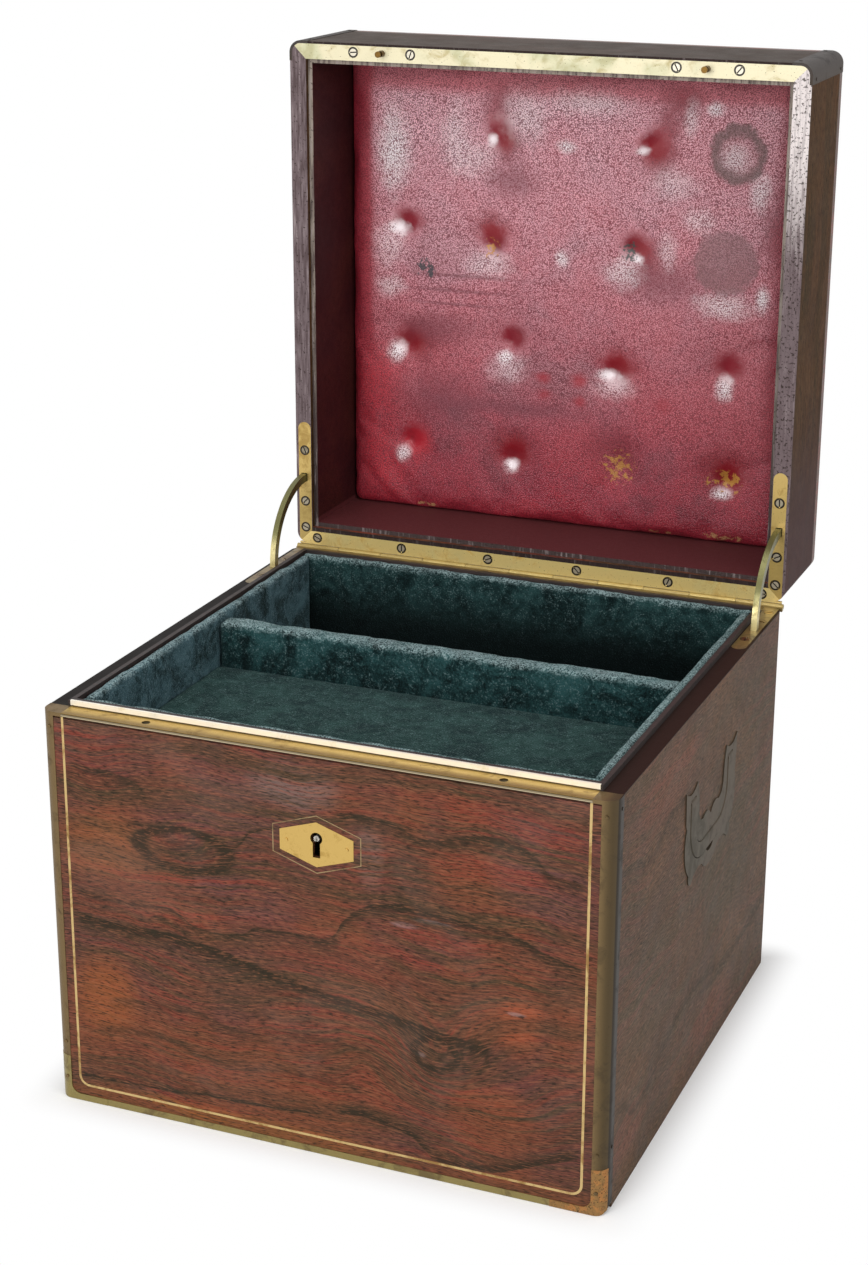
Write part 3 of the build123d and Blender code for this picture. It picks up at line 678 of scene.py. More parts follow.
@dataclass(frozen=True)
class PlainWood:
    """Plain dark or pale wood for the pieces that hardly show.

    Attributes:
        name: The material's name.
        dark: Its dark streaks.
        light: Its light streaks.
        roughness: Its roughness.
    """

    name: str
    dark: str
    light: str
    roughness: float = 0.5

    def build(self) -> bpy.types.Material:
        """Builds the material: streaks of stretched noise.

        Returns:
            The material.
        """
        g = Graph.material(self.name)
        x, y, z = g.axes()
        streak = g.noise(g.vector(x * 0.05, y * 0.6, z * 0.6), 1.0, 4.0, 0.6, 0.5)
        wear = g.noise(g.vector(x, y, z), 0.25, 4.0, 0.7)
        colour = g.mix(streak.ease(0.35, 0.65), tint(self.dark), tint(self.light))
        rough = wear * 0.3 + (self.roughness - 0.15)
        return g.finish(Base_Color=colour, Roughness=rough, Normal=g.bump(streak, 0.0001))


# ---------------------------------------------------------------- metal


@dataclass(frozen=True)
class Brass:
    """Old brass: clean patches, brown tarnish and dark spots.

    Attributes:
        name: The material's name.
        clean: The colour of clean metal.
        aged: The colour of the tarnish.
        grime: The colour of the spots.
        tarnish: How much is tarnished, from 0 to 1.
        spots: How much is spotted, from 0 to 1.
        metal: How metallic the clean parts are.
        roughness: The clean parts' roughness.
        scale: How many blotches fit in a millimetre.
        tinge: A colour that some blotches turn to.
        tinge_amount: How much of it there is.
        zones: Where it takes another colour.
        heads: The screws or studs it is fixed with.
    """

    name: str
    clean: str = "d9c48a"
    aged: str = "a88c52"
    grime: str = "463820"
    tarnish: float = 0.5
    spots: float = 0.3
    metal: float = 1.0
    roughness: float = 0.28
    scale: float = 0.12
    tinge: str = "8a9a6c"
    tinge_amount: float = 0.0
    zones: Tuple[Zone, ...] = ()
    heads: Optional[Heads] = None

    def build(self) -> bpy.types.Material:
        """Builds the material from four sizes of noise.

        Returns:
            The material.
        """
        g = Graph.material(self.name)
        spot = g.spot()
        blotch = g.noise(spot, self.scale, 5.0, 0.65, 0.6)
        speck = g.noise(spot, self.scale * 9.0, 3.0, 0.7)
        veil = g.noise(spot, self.scale * 0.3, 2.0, 0.5)
        dots = g.noise(spot, 1.1, 1.0, 0.5)
        tarnished = (blotch + veil * 0.6 - 0.3).ease(0.68 - self.tarnish * 0.4, 0.86 - self.tarnish * 0.3)
        spotted = dots.ease(0.78 - self.spots * 0.1, 0.82 - self.spots * 0.1)
        colour = g.mix(tarnished, tint(self.clean), tint(self.aged))
        colour = g.mix(veil.ease(0.48, 0.62) * self.tinge_amount, colour, tint(self.tinge))
        colour = g.mix(speck.ease(0.55, 0.8) * 0.5, colour, tint(self.aged))
        colour = g.mix(spotted * 0.85, colour, tint(self.grime))
        for zone in self.zones:
            colour = zone.over(g, colour)
        if self.heads is not None:
            colour = self.heads.over(g, colour)
        rough = tarnished * 0.15 + spotted * 0.25 + speck * 0.08 + self.roughness
        metal = tarnished * -0.15 + self.metal
        return g.finish(Base_Color=colour, Roughness=rough, Metallic=metal, Normal=g.bump(speck, 0.00005))


@dataclass(frozen=True)
class Steel:
    """Dull dark steel.

    Attributes:
        name: The material's name.
    """

    name: str

    def build(self) -> bpy.types.Material:
        """Builds the material: bright metal with dark specks.

        Returns:
            The material.
        """
        g = Graph.material(self.name)
        speck = g.noise(g.spot(), 1.2, 4.0, 0.7)
        colour = g.mix(speck.ease(0.35, 0.7), tint("d8d4cc"), tint("4a4238"))
        return g.finish(Base_Color=colour, Roughness=speck * 0.3 + 0.25, Metallic=0.9)


# ---------------------------------------------------------------- velvet and leather


@dataclass(frozen=True)
class Velvet:
    """Crushed teal velvet, pale where its pile catches light at the edges.

    Attributes:
        name: The material's name.
        deep: The colour down into the pile.
        lit: The colour across the pile.
        pale: The colour of the pale fibres, and of the painted highlight where the upper edge catches light.
        top: The height of the linings' upper edge, in millimetres.
        shade: Between which heights the painted shade darkens the pile downwards.
        painted_shade_depth: How dark the painted shade gets.
    """

    name: str
    deep: str = "0a1819"
    lit: str = "28423d"
    pale: str = "9db2b3"
    top: float = 219.6
    shade: Point2 = (214.0, 180.0)
    painted_shade_depth: float = 0.75

    def build(self) -> bpy.types.Material:
        """Builds the material: leaning pile in patches, fine fibres over it.

        Returns:
            The material.
        """
        g = Graph.material(self.name)
        spot = g.spot()
        height = g.axes()[2]
        lean = g.noise(spot, 0.04, 4.0, 0.6, 1.2)
        crush = g.noise(spot, 0.2, 3.0, 0.6, 0.8)
        fibre = g.noise(spot, 1.1, 2.0, 0.7)
        nap = lean * 0.5 + crush * 0.3 + fibre * 0.3
        colour = g.mix(nap.ease(0.42, 0.68), tint(self.deep), tint(self.lit))
        colour = g.mix(fibre.ease(0.54, 0.70) * crush.ease(0.42, 0.60) * 0.4, colour, tint(self.pale))
        # Painted shade: darker down the walls, towards the floor.
        colour = g.mix(height.ease(*self.shade) * self.painted_shade_depth, colour, tint("070d0d"))
        # Painted highlight: pale specks along the upper edge, where the pile catches the light.
        fringe = height + crush * 6.0 - 3.0
        edge = fringe.ease(self.top - 4.0, self.top + 0.5) * fibre.ease(0.40, 0.58)
        colour = g.mix(edge * 0.85, colour, tint(self.pale))
        pile = g.bump(crush * 0.5 + fibre, 0.0012)
        return g.finish(Base_Color=colour, Roughness=1.0, Normal=pile, Sheen_Weight=0.3,
                        Sheen_Roughness=0.4, Sheen_Tint=tint("8fb0b2"), Specular_IOR_Level=0.05)


class MarkKind(Enum):
    """How a mark on the leather is filled."""

    DISC = "all of it"
    RING = "its rim"
    FLECKS = "scattered flecks"
    GLOW = "all of it, fading outwards"


@dataclass(frozen=True)
class Mark:
    """A mark on the leather.

    Attributes:
        centre: Its place across and up the lid, in millimetres.
        radius: Its size.
        kind: How it is filled.
        colour: Its colour.
        depth: How strong it is.
        squat: Its height over its width.
    """

    centre: Point2
    radius: float
    kind: MarkKind
    colour: str
    depth: float
    squat: float = 1.0

    def cover(self, x: Signal, z: Signal, fray: Signal, fleck: Signal) -> Signal:
        """How far the mark covers a place, with a frayed edge.

        Args:
            x: The place across the lid.
            z: The place up it.
            fray: The noise that frays its edge.
            fleck: The finer noise that cuts it into flecks.

        Returns:
            The cover, from 0 to its depth.
        """
        glows = self.kind is MarkKind.GLOW
        away = spread(x, z, self.centre, (self.radius, self.radius * self.squat)).root()
        far = away + (fray - 0.5) * (1.5 if glows else 0.6)
        inside = far.ease(1.5, 0.1) if glows else far.ease(1.08, 0.85)
        if self.kind is MarkKind.RING:
            inside = inside * (far.ease(0.4, 0.8) * 0.8 + 0.2)
        if self.kind is MarkKind.FLECKS:
            inside = inside * (fleck - far * 0.12).ease(0.44, 0.49)
        return inside * self.depth


@dataclass(frozen=True)
class Leather:
    """Glossy pebbled leather.

    Attributes:
        name: The material's name.
        base: The main colour.
        deep: The colour in worn and dark places.
        bright: The fresh red.
        painted_gloss: The pale colour of the painted gloss on the pebbles.
        painted_gloss_amount: How strong the painted gloss is.
        painted_gloss_rise: Between which heights the painted gloss sets in, in millimetres.
        marks: Its marks.
        painted_light_marks: Painted highlights and painted shade, laid under the grain.
        valley: The colour between the pebbles.
        valley_amount: How much of it shows.
        pebble: How deep the pebble grain is, in metres.
        roughness: The gloss's roughness.
        gloss: How much it mirrors.
        zones: Where it takes another colour.
        edge_light_and_shade: Bands along its edges, with painted light on the top and left edges and painted
            shade on the right.
        stretched: Places where it is stitched down; beside them it is drawn smooth and painted dark red as
            shade.
        drawn: How far to the right and up from a stitch the smooth, shaded place lies.
    """

    name: str
    base: str = "a32a3c"
    deep: str = "6a1a28"
    bright: str = "b02434"
    painted_gloss: str = "fdc8d3"
    painted_gloss_amount: float = 0.0
    painted_gloss_rise: Point2 = (228.0, 498.0)
    marks: Tuple[Mark, ...] = ()
    painted_light_marks: Tuple[Mark, ...] = ()
    valley: str = "581524"
    valley_amount: float = 0.6
    pebble: float = 0.00035
    roughness: float = 0.42
    gloss: float = 0.25
    zones: Tuple[Union[Zone, BareRim], ...] = ()
    edge_light_and_shade: Tuple[Zone, ...] = ()
    stretched: Tuple[Point2, ...] = ()
    drawn: Point2 = (3.5, 4.0)

    def build(self) -> bpy.types.Material:
        """Builds the material: cells for the pebbles, noise for the dye, marks on top.

        The painted gloss, a painted highlight, lies on the pebbles' tops, more towards the top of the lid,
        and not where the leather is drawn smooth.

        Returns:
            The material.
        """
        g = Graph.material(self.name)
        x, y, z = g.axes()
        spot = g.vector(x, y, z)
        bent = g.noise(spot, 0.8, 2.0, 0.5)
        pebbles = g.cells(g.vector(x + bent * 0.4, y, z + bent * 0.4), 1.5)
        sparkle = g.noise(spot, 0.3, 2.0, 0.6)
        dye = g.noise(spot, 0.018, 4.0, 0.6, 0.5)
        rub = g.noise(spot, 0.28, 4.0, 0.7)
        fray = g.noise(spot, 0.14, 4.0, 0.7)
        colour = g.mix(dye.ease(0.56, 0.40) * 0.8, tint(self.base), tint(self.bright))
        colour = g.mix(dye.ease(0.52, 0.68) * 0.6, colour, tint(self.deep))
        colour = g.mix(rub.ease(0.5, 0.7) * 0.3, colour, tint(self.deep))
        smooth = self._smooth_and_shaded(g, rub)
        # Painted shade: dark red on the side of each stitch's hollow that turns from the light.
        colour = g.mix(smooth * 0.8, colour, tint("6e1420"))
        pebbles = pebbles * (1.0 - smooth * 0.7)
        # Painted highlight: pale gloss on the pebbles' tops, rising towards the top of the lid, and pale
        # glints on their middles.
        if self.painted_gloss_amount:
            low, high = self.painted_gloss_rise
            inner = abs(x).ease(134.0, 116.0) * z.ease(high + 30.0, high + 12.0)
            painted_gloss_mask = z.ease(low, high) * inner * (dye * 0.8 + 0.6) * (1.0 - smooth)
            tops = (pebbles.ease(0.66, 0.26) * 0.7 + 0.3) * (sparkle * 0.3 + 0.85)
            colour = g.mix(painted_gloss_mask * tops * self.painted_gloss_amount, colour, tint(self.painted_gloss))
            colour = g.mix(pebbles.ease(0.28, 0.12) * (1.0 - smooth) * 0.45, colour, tint(self.painted_gloss))
        # Painted light and painted shade along the edges.
        for zone in self.edge_light_and_shade:
            colour = zone.over(g, colour)
        raised = pebbles.ease(0.75, 0.40) * 0.75 + 0.25
        # Painted highlights and painted shade from the marks, carried on the pebbles' tops.
        for mark in self.painted_light_marks:
            colour = g.mix(mark.cover(x, z, fray, rub) * raised, colour, tint(mark.colour))
        colour = g.mix(pebbles.ease(0.42, 0.66) * self.valley_amount, colour, tint(self.valley))
        for mark in self.marks:
            colour = g.mix(mark.cover(x, z, fray, rub), colour, tint(mark.colour))
        for zone in self.zones:
            colour = zone.over(g, colour)
        rough = rub * 0.2 + (self.roughness - 0.1)
        grain = g.bump(1.0 - pebbles + rub * 0.3, self.pebble)
        return g.finish(Base_Color=colour, Roughness=rough, Normal=grain, Specular_IOR_Level=self.gloss)

    def _smooth_and_shaded(self, g: Graph, rub: Signal) -> Signal:
        """How far the leather is drawn smooth and painted with shade, beside each stretched place and a
        little above it.

        Args:
            g: The material's graph.
            rub: The noise that frays the edge.

        Returns:
            1 in the middle, falling off to 0 round it.
        """
        x, _, z = g.axes()
        beside = tuple((across + self.drawn[0], up + self.drawn[1]) for across, up in self.stretched)
        return (nearest(x, z, beside) + rub * 6.0 - 3.0).ease(15.0, 3.0)


Finish = Union[Rosewood, PlainWood, Brass, Steel, Leather]


# ---------------------------------------------------------------- surfaces worked out as arrays


def ripple(points: np.ndarray, waves: Sequence[float], seed: int) -> np.ndarray:
    """Smooth unevenness: the mean of sine waves in random directions, mostly from -1 to 1.

    Args:
        points: Places, in metres.
        waves: Wavelengths, in metres. Each gives six waves.
        seed: Fixes the directions and phases.

    Returns:
        One value for each place.
    """
    each = 6
    gain = 1.8
    turn = 2 * math.pi
    chance = np.random.default_rng(seed)
    total = np.zeros(len(points))
    for wave in waves:
        ways = chance.normal(size=(each, 3))
        ways /= np.linalg.norm(ways, axis=1, keepdims=True)
        phases = chance.uniform(0, turn, each)
        total += np.sin(points @ ways.T * (turn / wave) + phases).mean(axis=1)
    return total / len(waves) * gain


def box_skin(cells: Tuple[int, int, int]) -> Tuple[np.ndarray, np.ndarray]:
    """The welded skin of a box cut into cells.

    Each face is a grid of squares whose corners are whole numbers. Equal corners become one point.

    Args:
        cells: How many cells lie along each axis.

    Returns:
        The points, from 0 to cells along each axis, and the squares that face outwards.
    """
    sheets = []
    for axis in range(3):
        a, b = (axis + 1) % 3, (axis + 2) % 3
        u, v = np.meshgrid(np.arange(cells[a]), np.arange(cells[b]), indexing="ij")
        for end in (0, cells[axis]):
            square = np.zeros(u.shape + (4, 3), int)
            square[..., axis] = end
            for corner, (du, dv) in enumerate(((0, 0), (1, 0), (1, 1), (0, 1))):
                square[..., corner, a] = u + du
                square[..., corner, b] = v + dv
            sheets.append((square if end else square[..., ::-1, :]).reshape(-1, 4, 3))
    squares = np.concatenate(sheets)
    points, index = np.unique(squares.reshape(-1, 3), axis=0, return_inverse=True)
    return points, index.reshape(-1, 4)


def soft_block(low: np.ndarray, high: np.ndarray, cell: float, radius: float,
               least: int = 5) -> Tuple[np.ndarray, np.ndarray]:
    """A block with rounded edges.

    A point of the box's skin is drawn towards the inner box, which lies one radius inside, until it is
    one radius away from it.

    Args:
        low: The lowest corner.
        high: The highest corner.
        cell: The size of a cell.
        radius: The rounding of the edges.
        least: The fewest cells along an axis.

    Returns:
        The points and the squares.
    """
    size = high - low
    radius = min(radius, 0.45 * float(size.min()))
    cells = tuple(int(max(least, round(s / cell))) for s in size)
    lattice, squares = box_skin(cells)
    part = lattice / np.array(cells)
    points = low + part * size
    core = np.clip(points, low + radius, high - radius)
    away = points - core
    far = np.linalg.norm(away, axis=1, keepdims=True)
    return core + away / np.maximum(far, NO_LENGTH) * radius, squares


def make_piece(name: str, points: np.ndarray, squares: np.ndarray,
               material: bpy.types.Material) -> bpy.types.Object:
    """Puts points and faces into a smooth mesh object at the origin.

    Args:
        name: The piece's name.
        points: Its points, in metres.
        squares: Its faces.
        material: Its material.

    Returns:
        The new object.
    """
    mesh = bpy.data.meshes.new(name)
    mesh.from_pydata(points.tolist(), [], squares.tolist())
    mesh.polygons.foreach_set("use_smooth", np.ones(len(mesh.polygons), bool))
    mesh.materials.append(material)
    mesh.update()
    piece = bpy.data.objects.new(name, mesh)
    bpy.context.scene.collection.objects.link(piece)
    LOG.info("%s: %d faces", name, len(mesh.polygons))
    return piece


def corners(node: str) -> Tuple[np.ndarray, np.ndarray]:
    """A CAD node's lowest and highest corner."""
    low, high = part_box(node)
    return np.array(low), np.array(high)


# ---------------------------------------------------------------- sub-assemblies


@dataclass
class VelvetLining:
    """The velvet-covered boards and floors inside the case.

    Attributes:
        finish: Their velvet.
        walls: Nodes that stand up to the rim, how deep the painted shade runs down each, and its lit colour,
            painted lighter or darker for the light on that wall.
        floors: Nodes that lie flat.
        cell: The size of a cell of the surface.
        rounding: The rounding of the edges.
        bunch: How far the upper edges wander.
        bunch_reach: How far down from the edge they wander.
        crush: How uneven the faces are.
    """

    finish: Velvet
    # Each wall's painted shade and lit colour: the left wall painted lighter and the back darker for the
    # light on them.
    walls: Tuple[Tuple[str, float, str], ...] = (
        ("front_lining", 0.6, "31504f"), ("back_lining", 0.95, "2c4a4a"), ("left_lining", 0.1, "4f6d76"),
        ("right_lining", 0.5, "31504f"), ("divider", 0.35, "2f5455"))
    floors: Tuple[str, ...] = ("tray_floor", "deep_floor")
    cell: float = 2.6 * MM
    rounding: float = 2.7 * MM
    bunch: float = 0.9 * MM
    bunch_reach: float = 12.0 * MM
    crush: float = 0.35 * MM

    def build(self) -> None:
        """Builds every lining in place of its CAD node."""
        sides = self.walls + tuple((name, 0.0, self.finish.lit) for name in self.floors)
        for seed, (name, painted_shade_depth, lit) in enumerate(sides):
            low, high = corners(name)
            stands = name not in self.floors
            top = float(high[2]) / MM if stands else self.finish.top
            finish = replace(self.finish, name=name + "_pile", painted_shade_depth=painted_shade_depth, lit=lit, top=top)
            points, squares = soft_block(low, high, self.cell, self.rounding)
            points = self._crush(points, low, high, seed, stands)
            piece = make_piece(name + "_velvet", points, squares, finish.build())
            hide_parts(name)
            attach(piece, "case")

    def _crush(self, points: np.ndarray, low: np.ndarray, high: np.ndarray, seed: int,
               wall: bool) -> np.ndarray:
        """Pushes the faces in and out a little and bunches the upper edge.

        The push is a ripple along the way out from the middle, which a high power keeps off the inside.
        The upper edge also rises and falls with a longer ripple, in full at the top and not at all one
        reach below it.

        Args:
            points: The surface's points.
            low: The board's lowest corner.
            high: Its highest corner.
            seed: Fixes the ripples.
            wall: Whether it stands, and has an upper edge.

        Returns:
            The moved points.
        """
        middle = (low + high) / 2
        out = (points - middle) / ((high - low) / 2)
        out = np.sign(out) * np.abs(out) ** 24
        push = ripple(points, (0.035, 0.014, 0.007), seed)[:, None] - 0.6
        moved = points + out * push * self.crush
        if wall:
            foot = high[2] - self.bunch_reach
            near_top = np.clip((points[:, 2] - foot) / self.bunch_reach, 0, 1) ** 2
            moved[:, 2] += near_top * (ripple(points, (0.05, 0.022, 0.012), seed + 40) - 0.5) * self.bunch
        return moved


@dataclass(frozen=True)
class Tuft:
    """A place where the pad is stitched down.

    Attributes:
        across: Its place from the lid's middle, in millimetres.
        up: Its height.
        depth: The depth of its pit.
        width: How fast the pit opens out.
        sag: The depth of the wide hollow round it.
        spread: The size of that hollow.
    """

    across: float
    up: float
    depth: float = 6.5
    width: float = 5.0
    sag: float = 2.0
    spread: float = 17.0

    def hollow(self, x: np.ndarray, z: np.ndarray) -> np.ndarray:
        """How deep the pad lies at each place: an exponential pit in a bell-shaped hollow."""
        away = np.hypot(x / MM - self.across, z / MM - self.up)
        return (self.depth * np.exp(-away / self.width) + self.sag * np.exp(-(away / self.spread) ** 2)) * MM


@dataclass(frozen=True)
class Fold:
    """A crease in the pad, or a ridge where its depth is negative.

    Attributes:
        start: One end, across and up the lid, in millimetres.
        end: The other end.
        depth: How deep it is.
        width: How wide it is.
    """

    start: Point2
    end: Point2
    depth: float
    width: float

    def hollow(self, x: np.ndarray, z: np.ndarray) -> np.ndarray:
        """How deep the pad lies at each place: bell-shaped across the line between the ends.

        Args:
            x: The places across the lid, in metres.
            z: The places up it, in metres.

        Returns:
            The depths, in metres.
        """
        place = np.stack((x, z), axis=-1) / MM - self.start
        along = np.subtract(self.end, self.start)
        share = np.clip(place @ along / (along @ along), 0.0, 1.0)
        away = np.linalg.norm(place - share[..., None] * along, axis=-1)
        return self.depth * np.exp(-(away / self.width) ** 2) * MM


@dataclass
class LeatherPad:
    """The stuffed leather pad on the lid's ceiling.

    Attributes:
        finish: Its leather.
        tufts: Where it is stitched down.
        folds: Its creases and ridges.
        cell: The size of a cell of the surface.
        rounding: How round its edges are.
        crown: How far its middle stands out beyond its edges.
        lumps: How uneven its stuffing is.
        most_swell: The farthest the simulation may move a point.
        room: How far it may stand out in front of the slab.
        held_back: How thick a layer at its back is held still.
        held_round: How far round each tuft it is held.
        stiffness: How hard the leather resists stretching.
        pressure: How hard the stuffing pushes.
        frames: How long it settles.
    """

    finish: Leather
    tufts: Tuple[Tuft, ...]
    folds: Tuple[Fold, ...]
    cell: float = 3.0 * MM
    rounding: float = 5.0 * MM
    crown: float = 4.5 * MM
    lumps: float = 0.5 * MM
    most_swell: float = 1.2 * MM
    room: float = 4.0 * MM
    held_back: float = 5.0 * MM
    held_round: float = 2.6 * MM
    stiffness: float = 12.0
    pressure: float = 4.0
    frames: int = 20

    def build(self) -> None:
        """Builds the pad in place of its CAD slab."""
        low, high = corners("lid_pad")
        points, squares = soft_block(low, high, self.cell, self.rounding, least=4)
        points[:, 1] += self._hollows(points, low, high)
        piece = make_piece("lid_pad_leather", points, squares, self.finish.build())
        self._settle(piece, low, high)
        smooth = piece.modifiers.new("smooth", "SUBSURF")
        smooth.levels = 1
        smooth.render_levels = 1
        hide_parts("lid_pad")
        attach(piece, "lid")

    def _hollows(self, points: np.ndarray, low: np.ndarray, high: np.ndarray) -> np.ndarray:
        """How far each point of the face lies back from the slab's face.

        The edges lie back by the crown, less towards the middle. The tufts, the folds and a smooth
        unevenness are added to that.

        Args:
            points: The surface's points.
            low: The slab's lowest corner.
            high: Its highest corner.

        Returns:
            The way back, in metres, which dies away towards the slab's back.
        """
        face = np.clip((high[1] - points[:, 1]) / (high[1] - low[1]), 0, 1)
        u = (points[:, 0] - low[0]) / (high[0] - low[0]) * 2 - 1
        v = (points[:, 2] - low[2]) / (high[2] - low[2]) * 2 - 1
        back = self.crown * (u ** 12 + v ** 12 - u ** 12 * v ** 12)
        for form in self.tufts + self.folds:
            back += form.hollow(points[:, 0], points[:, 2])
        back += (ripple(points, (0.09, 0.045), 5) + 1.0) * self.lumps
        return back * face

    def _settle(self, piece: bpy.types.Object, low: np.ndarray, high: np.ndarray) -> None:
        """Blows the pad up as cloth, held at its back and its tufts, and keeps the result.

        Args:
            piece: The pad.
            low: The slab's lowest corner.
            high: Its highest corner.
        """
        scene = bpy.context.scene
        start = self._read(piece.data)
        held = start[:, 1] > high[1] - self.held_back
        for tuft in self.tufts:
            away = np.hypot(start[:, 0] - tuft.across * MM, start[:, 2] - tuft.up * MM)
            held |= away < self.held_round
        group = piece.vertex_groups.new(name="held")
        group.add(np.flatnonzero(held).tolist(), 1.0, "REPLACE")
        cloth = piece.modifiers.new("cloth", "CLOTH")
        settings = cloth.settings
        settings.quality = 6
        settings.mass = 0.25
        settings.tension_stiffness = self.stiffness
        settings.compression_stiffness = self.stiffness
        settings.shear_stiffness = 4
        settings.bending_stiffness = 0.4
        settings.use_pressure = True
        settings.uniform_pressure_force = self.pressure
        settings.vertex_group_mass = "held"
        settings.shrink_min = -0.01
        settings.shrink_max = -0.01
        settings.effector_weights.gravity = 0
        cloth.point_cache.frame_start = 1
        cloth.point_cache.frame_end = self.frames
        for step in range(1, self.frames + 1):
            scene.frame_set(step)
        settled = piece.evaluated_get(bpy.context.evaluated_depsgraph_get()).to_mesh()
        moved = self._read(settled) - start
        far = np.linalg.norm(moved, axis=1, keepdims=True)
        moved *= np.minimum(1.0, self.most_swell / np.maximum(far, NO_LENGTH))
        points = np.clip(start + moved, low - np.array((0, self.room, 0)), high)
        piece.modifiers.remove(cloth)
        piece.vertex_groups.remove(group)
        piece.data.vertices.foreach_set("co", points.ravel())
        piece.data.update()
        scene.frame_set(1)
        LOG.info("lid_pad_leather settled, largest move %.1f mm", float(far.max()) / MM)

    @staticmethod
    def _read(mesh: bpy.types.Mesh) -> np.ndarray:
        """A mesh's points.

        Args:
            mesh: The mesh.

        Returns:
            One row for each point, in metres.
        """
        flat = np.zeros(len(mesh.vertices) * 3)
        mesh.vertices.foreach_get("co", flat)
        return flat.reshape(-1, 3)


@dataclass
class LidLiners:
    """The thin leather-covered boards inside the lid.

    Attributes:
        edge: Where their bare edge begins and is complete, along Y, in millimetres.
        edge_rise: Between which heights that edge turns pale.
        foot: Where the lowest board's face, painted lighter for the light it catches, begins and is complete,
            in height.
    """

    edge: Point2 = (153.6, 153.4)
    edge_rise: Point2 = (240.0, 460.0)
    foot: Point2 = (235.4, 234.4)

    def build(self) -> None:
        """Dresses the boards."""
        edge = BareRim(*self.edge, "3f3432", "93877c", self.edge_rise)
        foot = Zone(2, *self.foot, "5a2c2e", 0.8)
        # Painted shade: the boards' leather is darkened to near-black maroon for the shade inside the lid;
        # the foot zone paints light on the lowest board.
        dress(Leather("maroon_leather", base="3c1719", deep="241012", bright="48201c", valley="241012",
                      pebble=0.0001, gloss=0.15, roughness=0.5, zones=(foot, edge)), "lid_liners")


@dataclass
class Woodwork:
    """The case's and lid's boards.

    Attributes:
        rim_height: The case rim's height, in millimetres.
        lid_rim: Where the open lid's rim lies, along Y, in millimetres.
        fade: How far behind a bare face its colour begins, and is complete.
    """

    rim_height: float = 217.0
    lid_rim: float = 150.0
    fade: Point2 = (0.5, 0.2)

    def build(self) -> None:
        """Dresses every board."""
        bare = tuple(self.lid_rim + behind for behind in self.fade)
        dull_rim = BareRim(*bare, "6f6163", "6f6163", (400.0, 480.0))
        # Painted highlight: the lid's right rim turns pale towards its top for the glare on its polish.
        painted_glare_rim = replace(dull_rim, pale="ddd3d1", streaks=0.3, specked=0.6)
        dark_rim = BareRim(*bare, "2c2220", "2c2220", (400.0, 480.0), 0.3)
        # Painted shade: dark lines in the gaps beside the corner mouldings and along the bottom.
        painted_seam_shade = (
            Zone(0, -143.2, -143.7, "1c130d", 0.9),
            Zone(0, 143.2, 143.7, "1c130d", 0.9),
            Zone(2, 3.7, 3.2, "1c130d", 0.8),
        )
        front = Rosewood(
            "rosewood_front", Grain.WIDE, FRONT_VEINS, FRONT_KNOTS, FRONT_PATCHES, zones=painted_seam_shade,
            fire_amount=0.65)
        side = Rosewood(
            "rosewood_side", Grain.SIDE, SIDE_VEINS, SIDE_KNOTS, SIDE_PATCHES, base="5e432f", deep="503b2e",
            fire="73463a", olive="4a402e", smoke="2f271a", glint="86664f", fire_amount=0.38, smoke_amount=0.7,
            haze=0.06, zones=self._land("2a1c18"), seed=2.0, roughness=0.5, shine=0.05)
        back = Rosewood("rosewood_back", Grain.WIDE, zones=self._land("2a1c18"), seed=5.0)
        lid_side = Rosewood(
            "rosewood_lid_side", Grain.LID_SIDE, base="533a27", deep="443022", fire="66442c", olive="3c2f1d",
            smoke="241c12", glint="6e5238", zones=(dull_rim,), seed=7.0, fire_amount=0.4, haze=0.0,
            roughness=0.6, shine=0.02)
        lid_front = Rosewood(
            "rosewood_lid_front", Grain.LID_FRONT, base="433129", deep="352821", fire="4c352a",
            olive="33291f", smoke="2a2019", glint="564438", zones=(dark_rim,), seed=9.0, fire_amount=0.1,
            haze=0.0, roughness=0.5, shine=0.05)
        lower = Zone(2, 340.0, 240.0, "55444a", 0.5)
        dress(front, "front_panel")
        dress(side, "right_panel")
        dress(replace(side, name="rosewood_left", zones=self._land("15100e")), "left_panel")
        dress(back, "back_panel")
        dress(lid_side, "lid_left")
        dress(replace(lid_side, name="rosewood_lid_right", zones=(lower, painted_glare_rim)), "lid_right")
        dress(lid_front, "lid_front")
        dress(replace(back, name="rosewood_lid_back", zones=(dark_rim,)), "lid_back")
        dress(Rosewood("rosewood_lid_top", Grain.WIDE, FRONT_VEINS, FRONT_KNOTS, seed=11.0), "lid_top")
        dress(PlainWood("dark_wood", "140d0b", "2a1a17", 0.6), "liner_boards")
        dress(PlainWood("softwood", "4b3220", "7d5a3c", 0.7), "bottom_board", "tray_bearers")

    def _land(self, colour: str) -> Tuple[Zone, ...]:
        """The flat top of the case's boards, in a colour of its own."""
        begins, full = (self.rim_height - below for below in self.fade)
        return (Zone(2, begins, full, colour),)


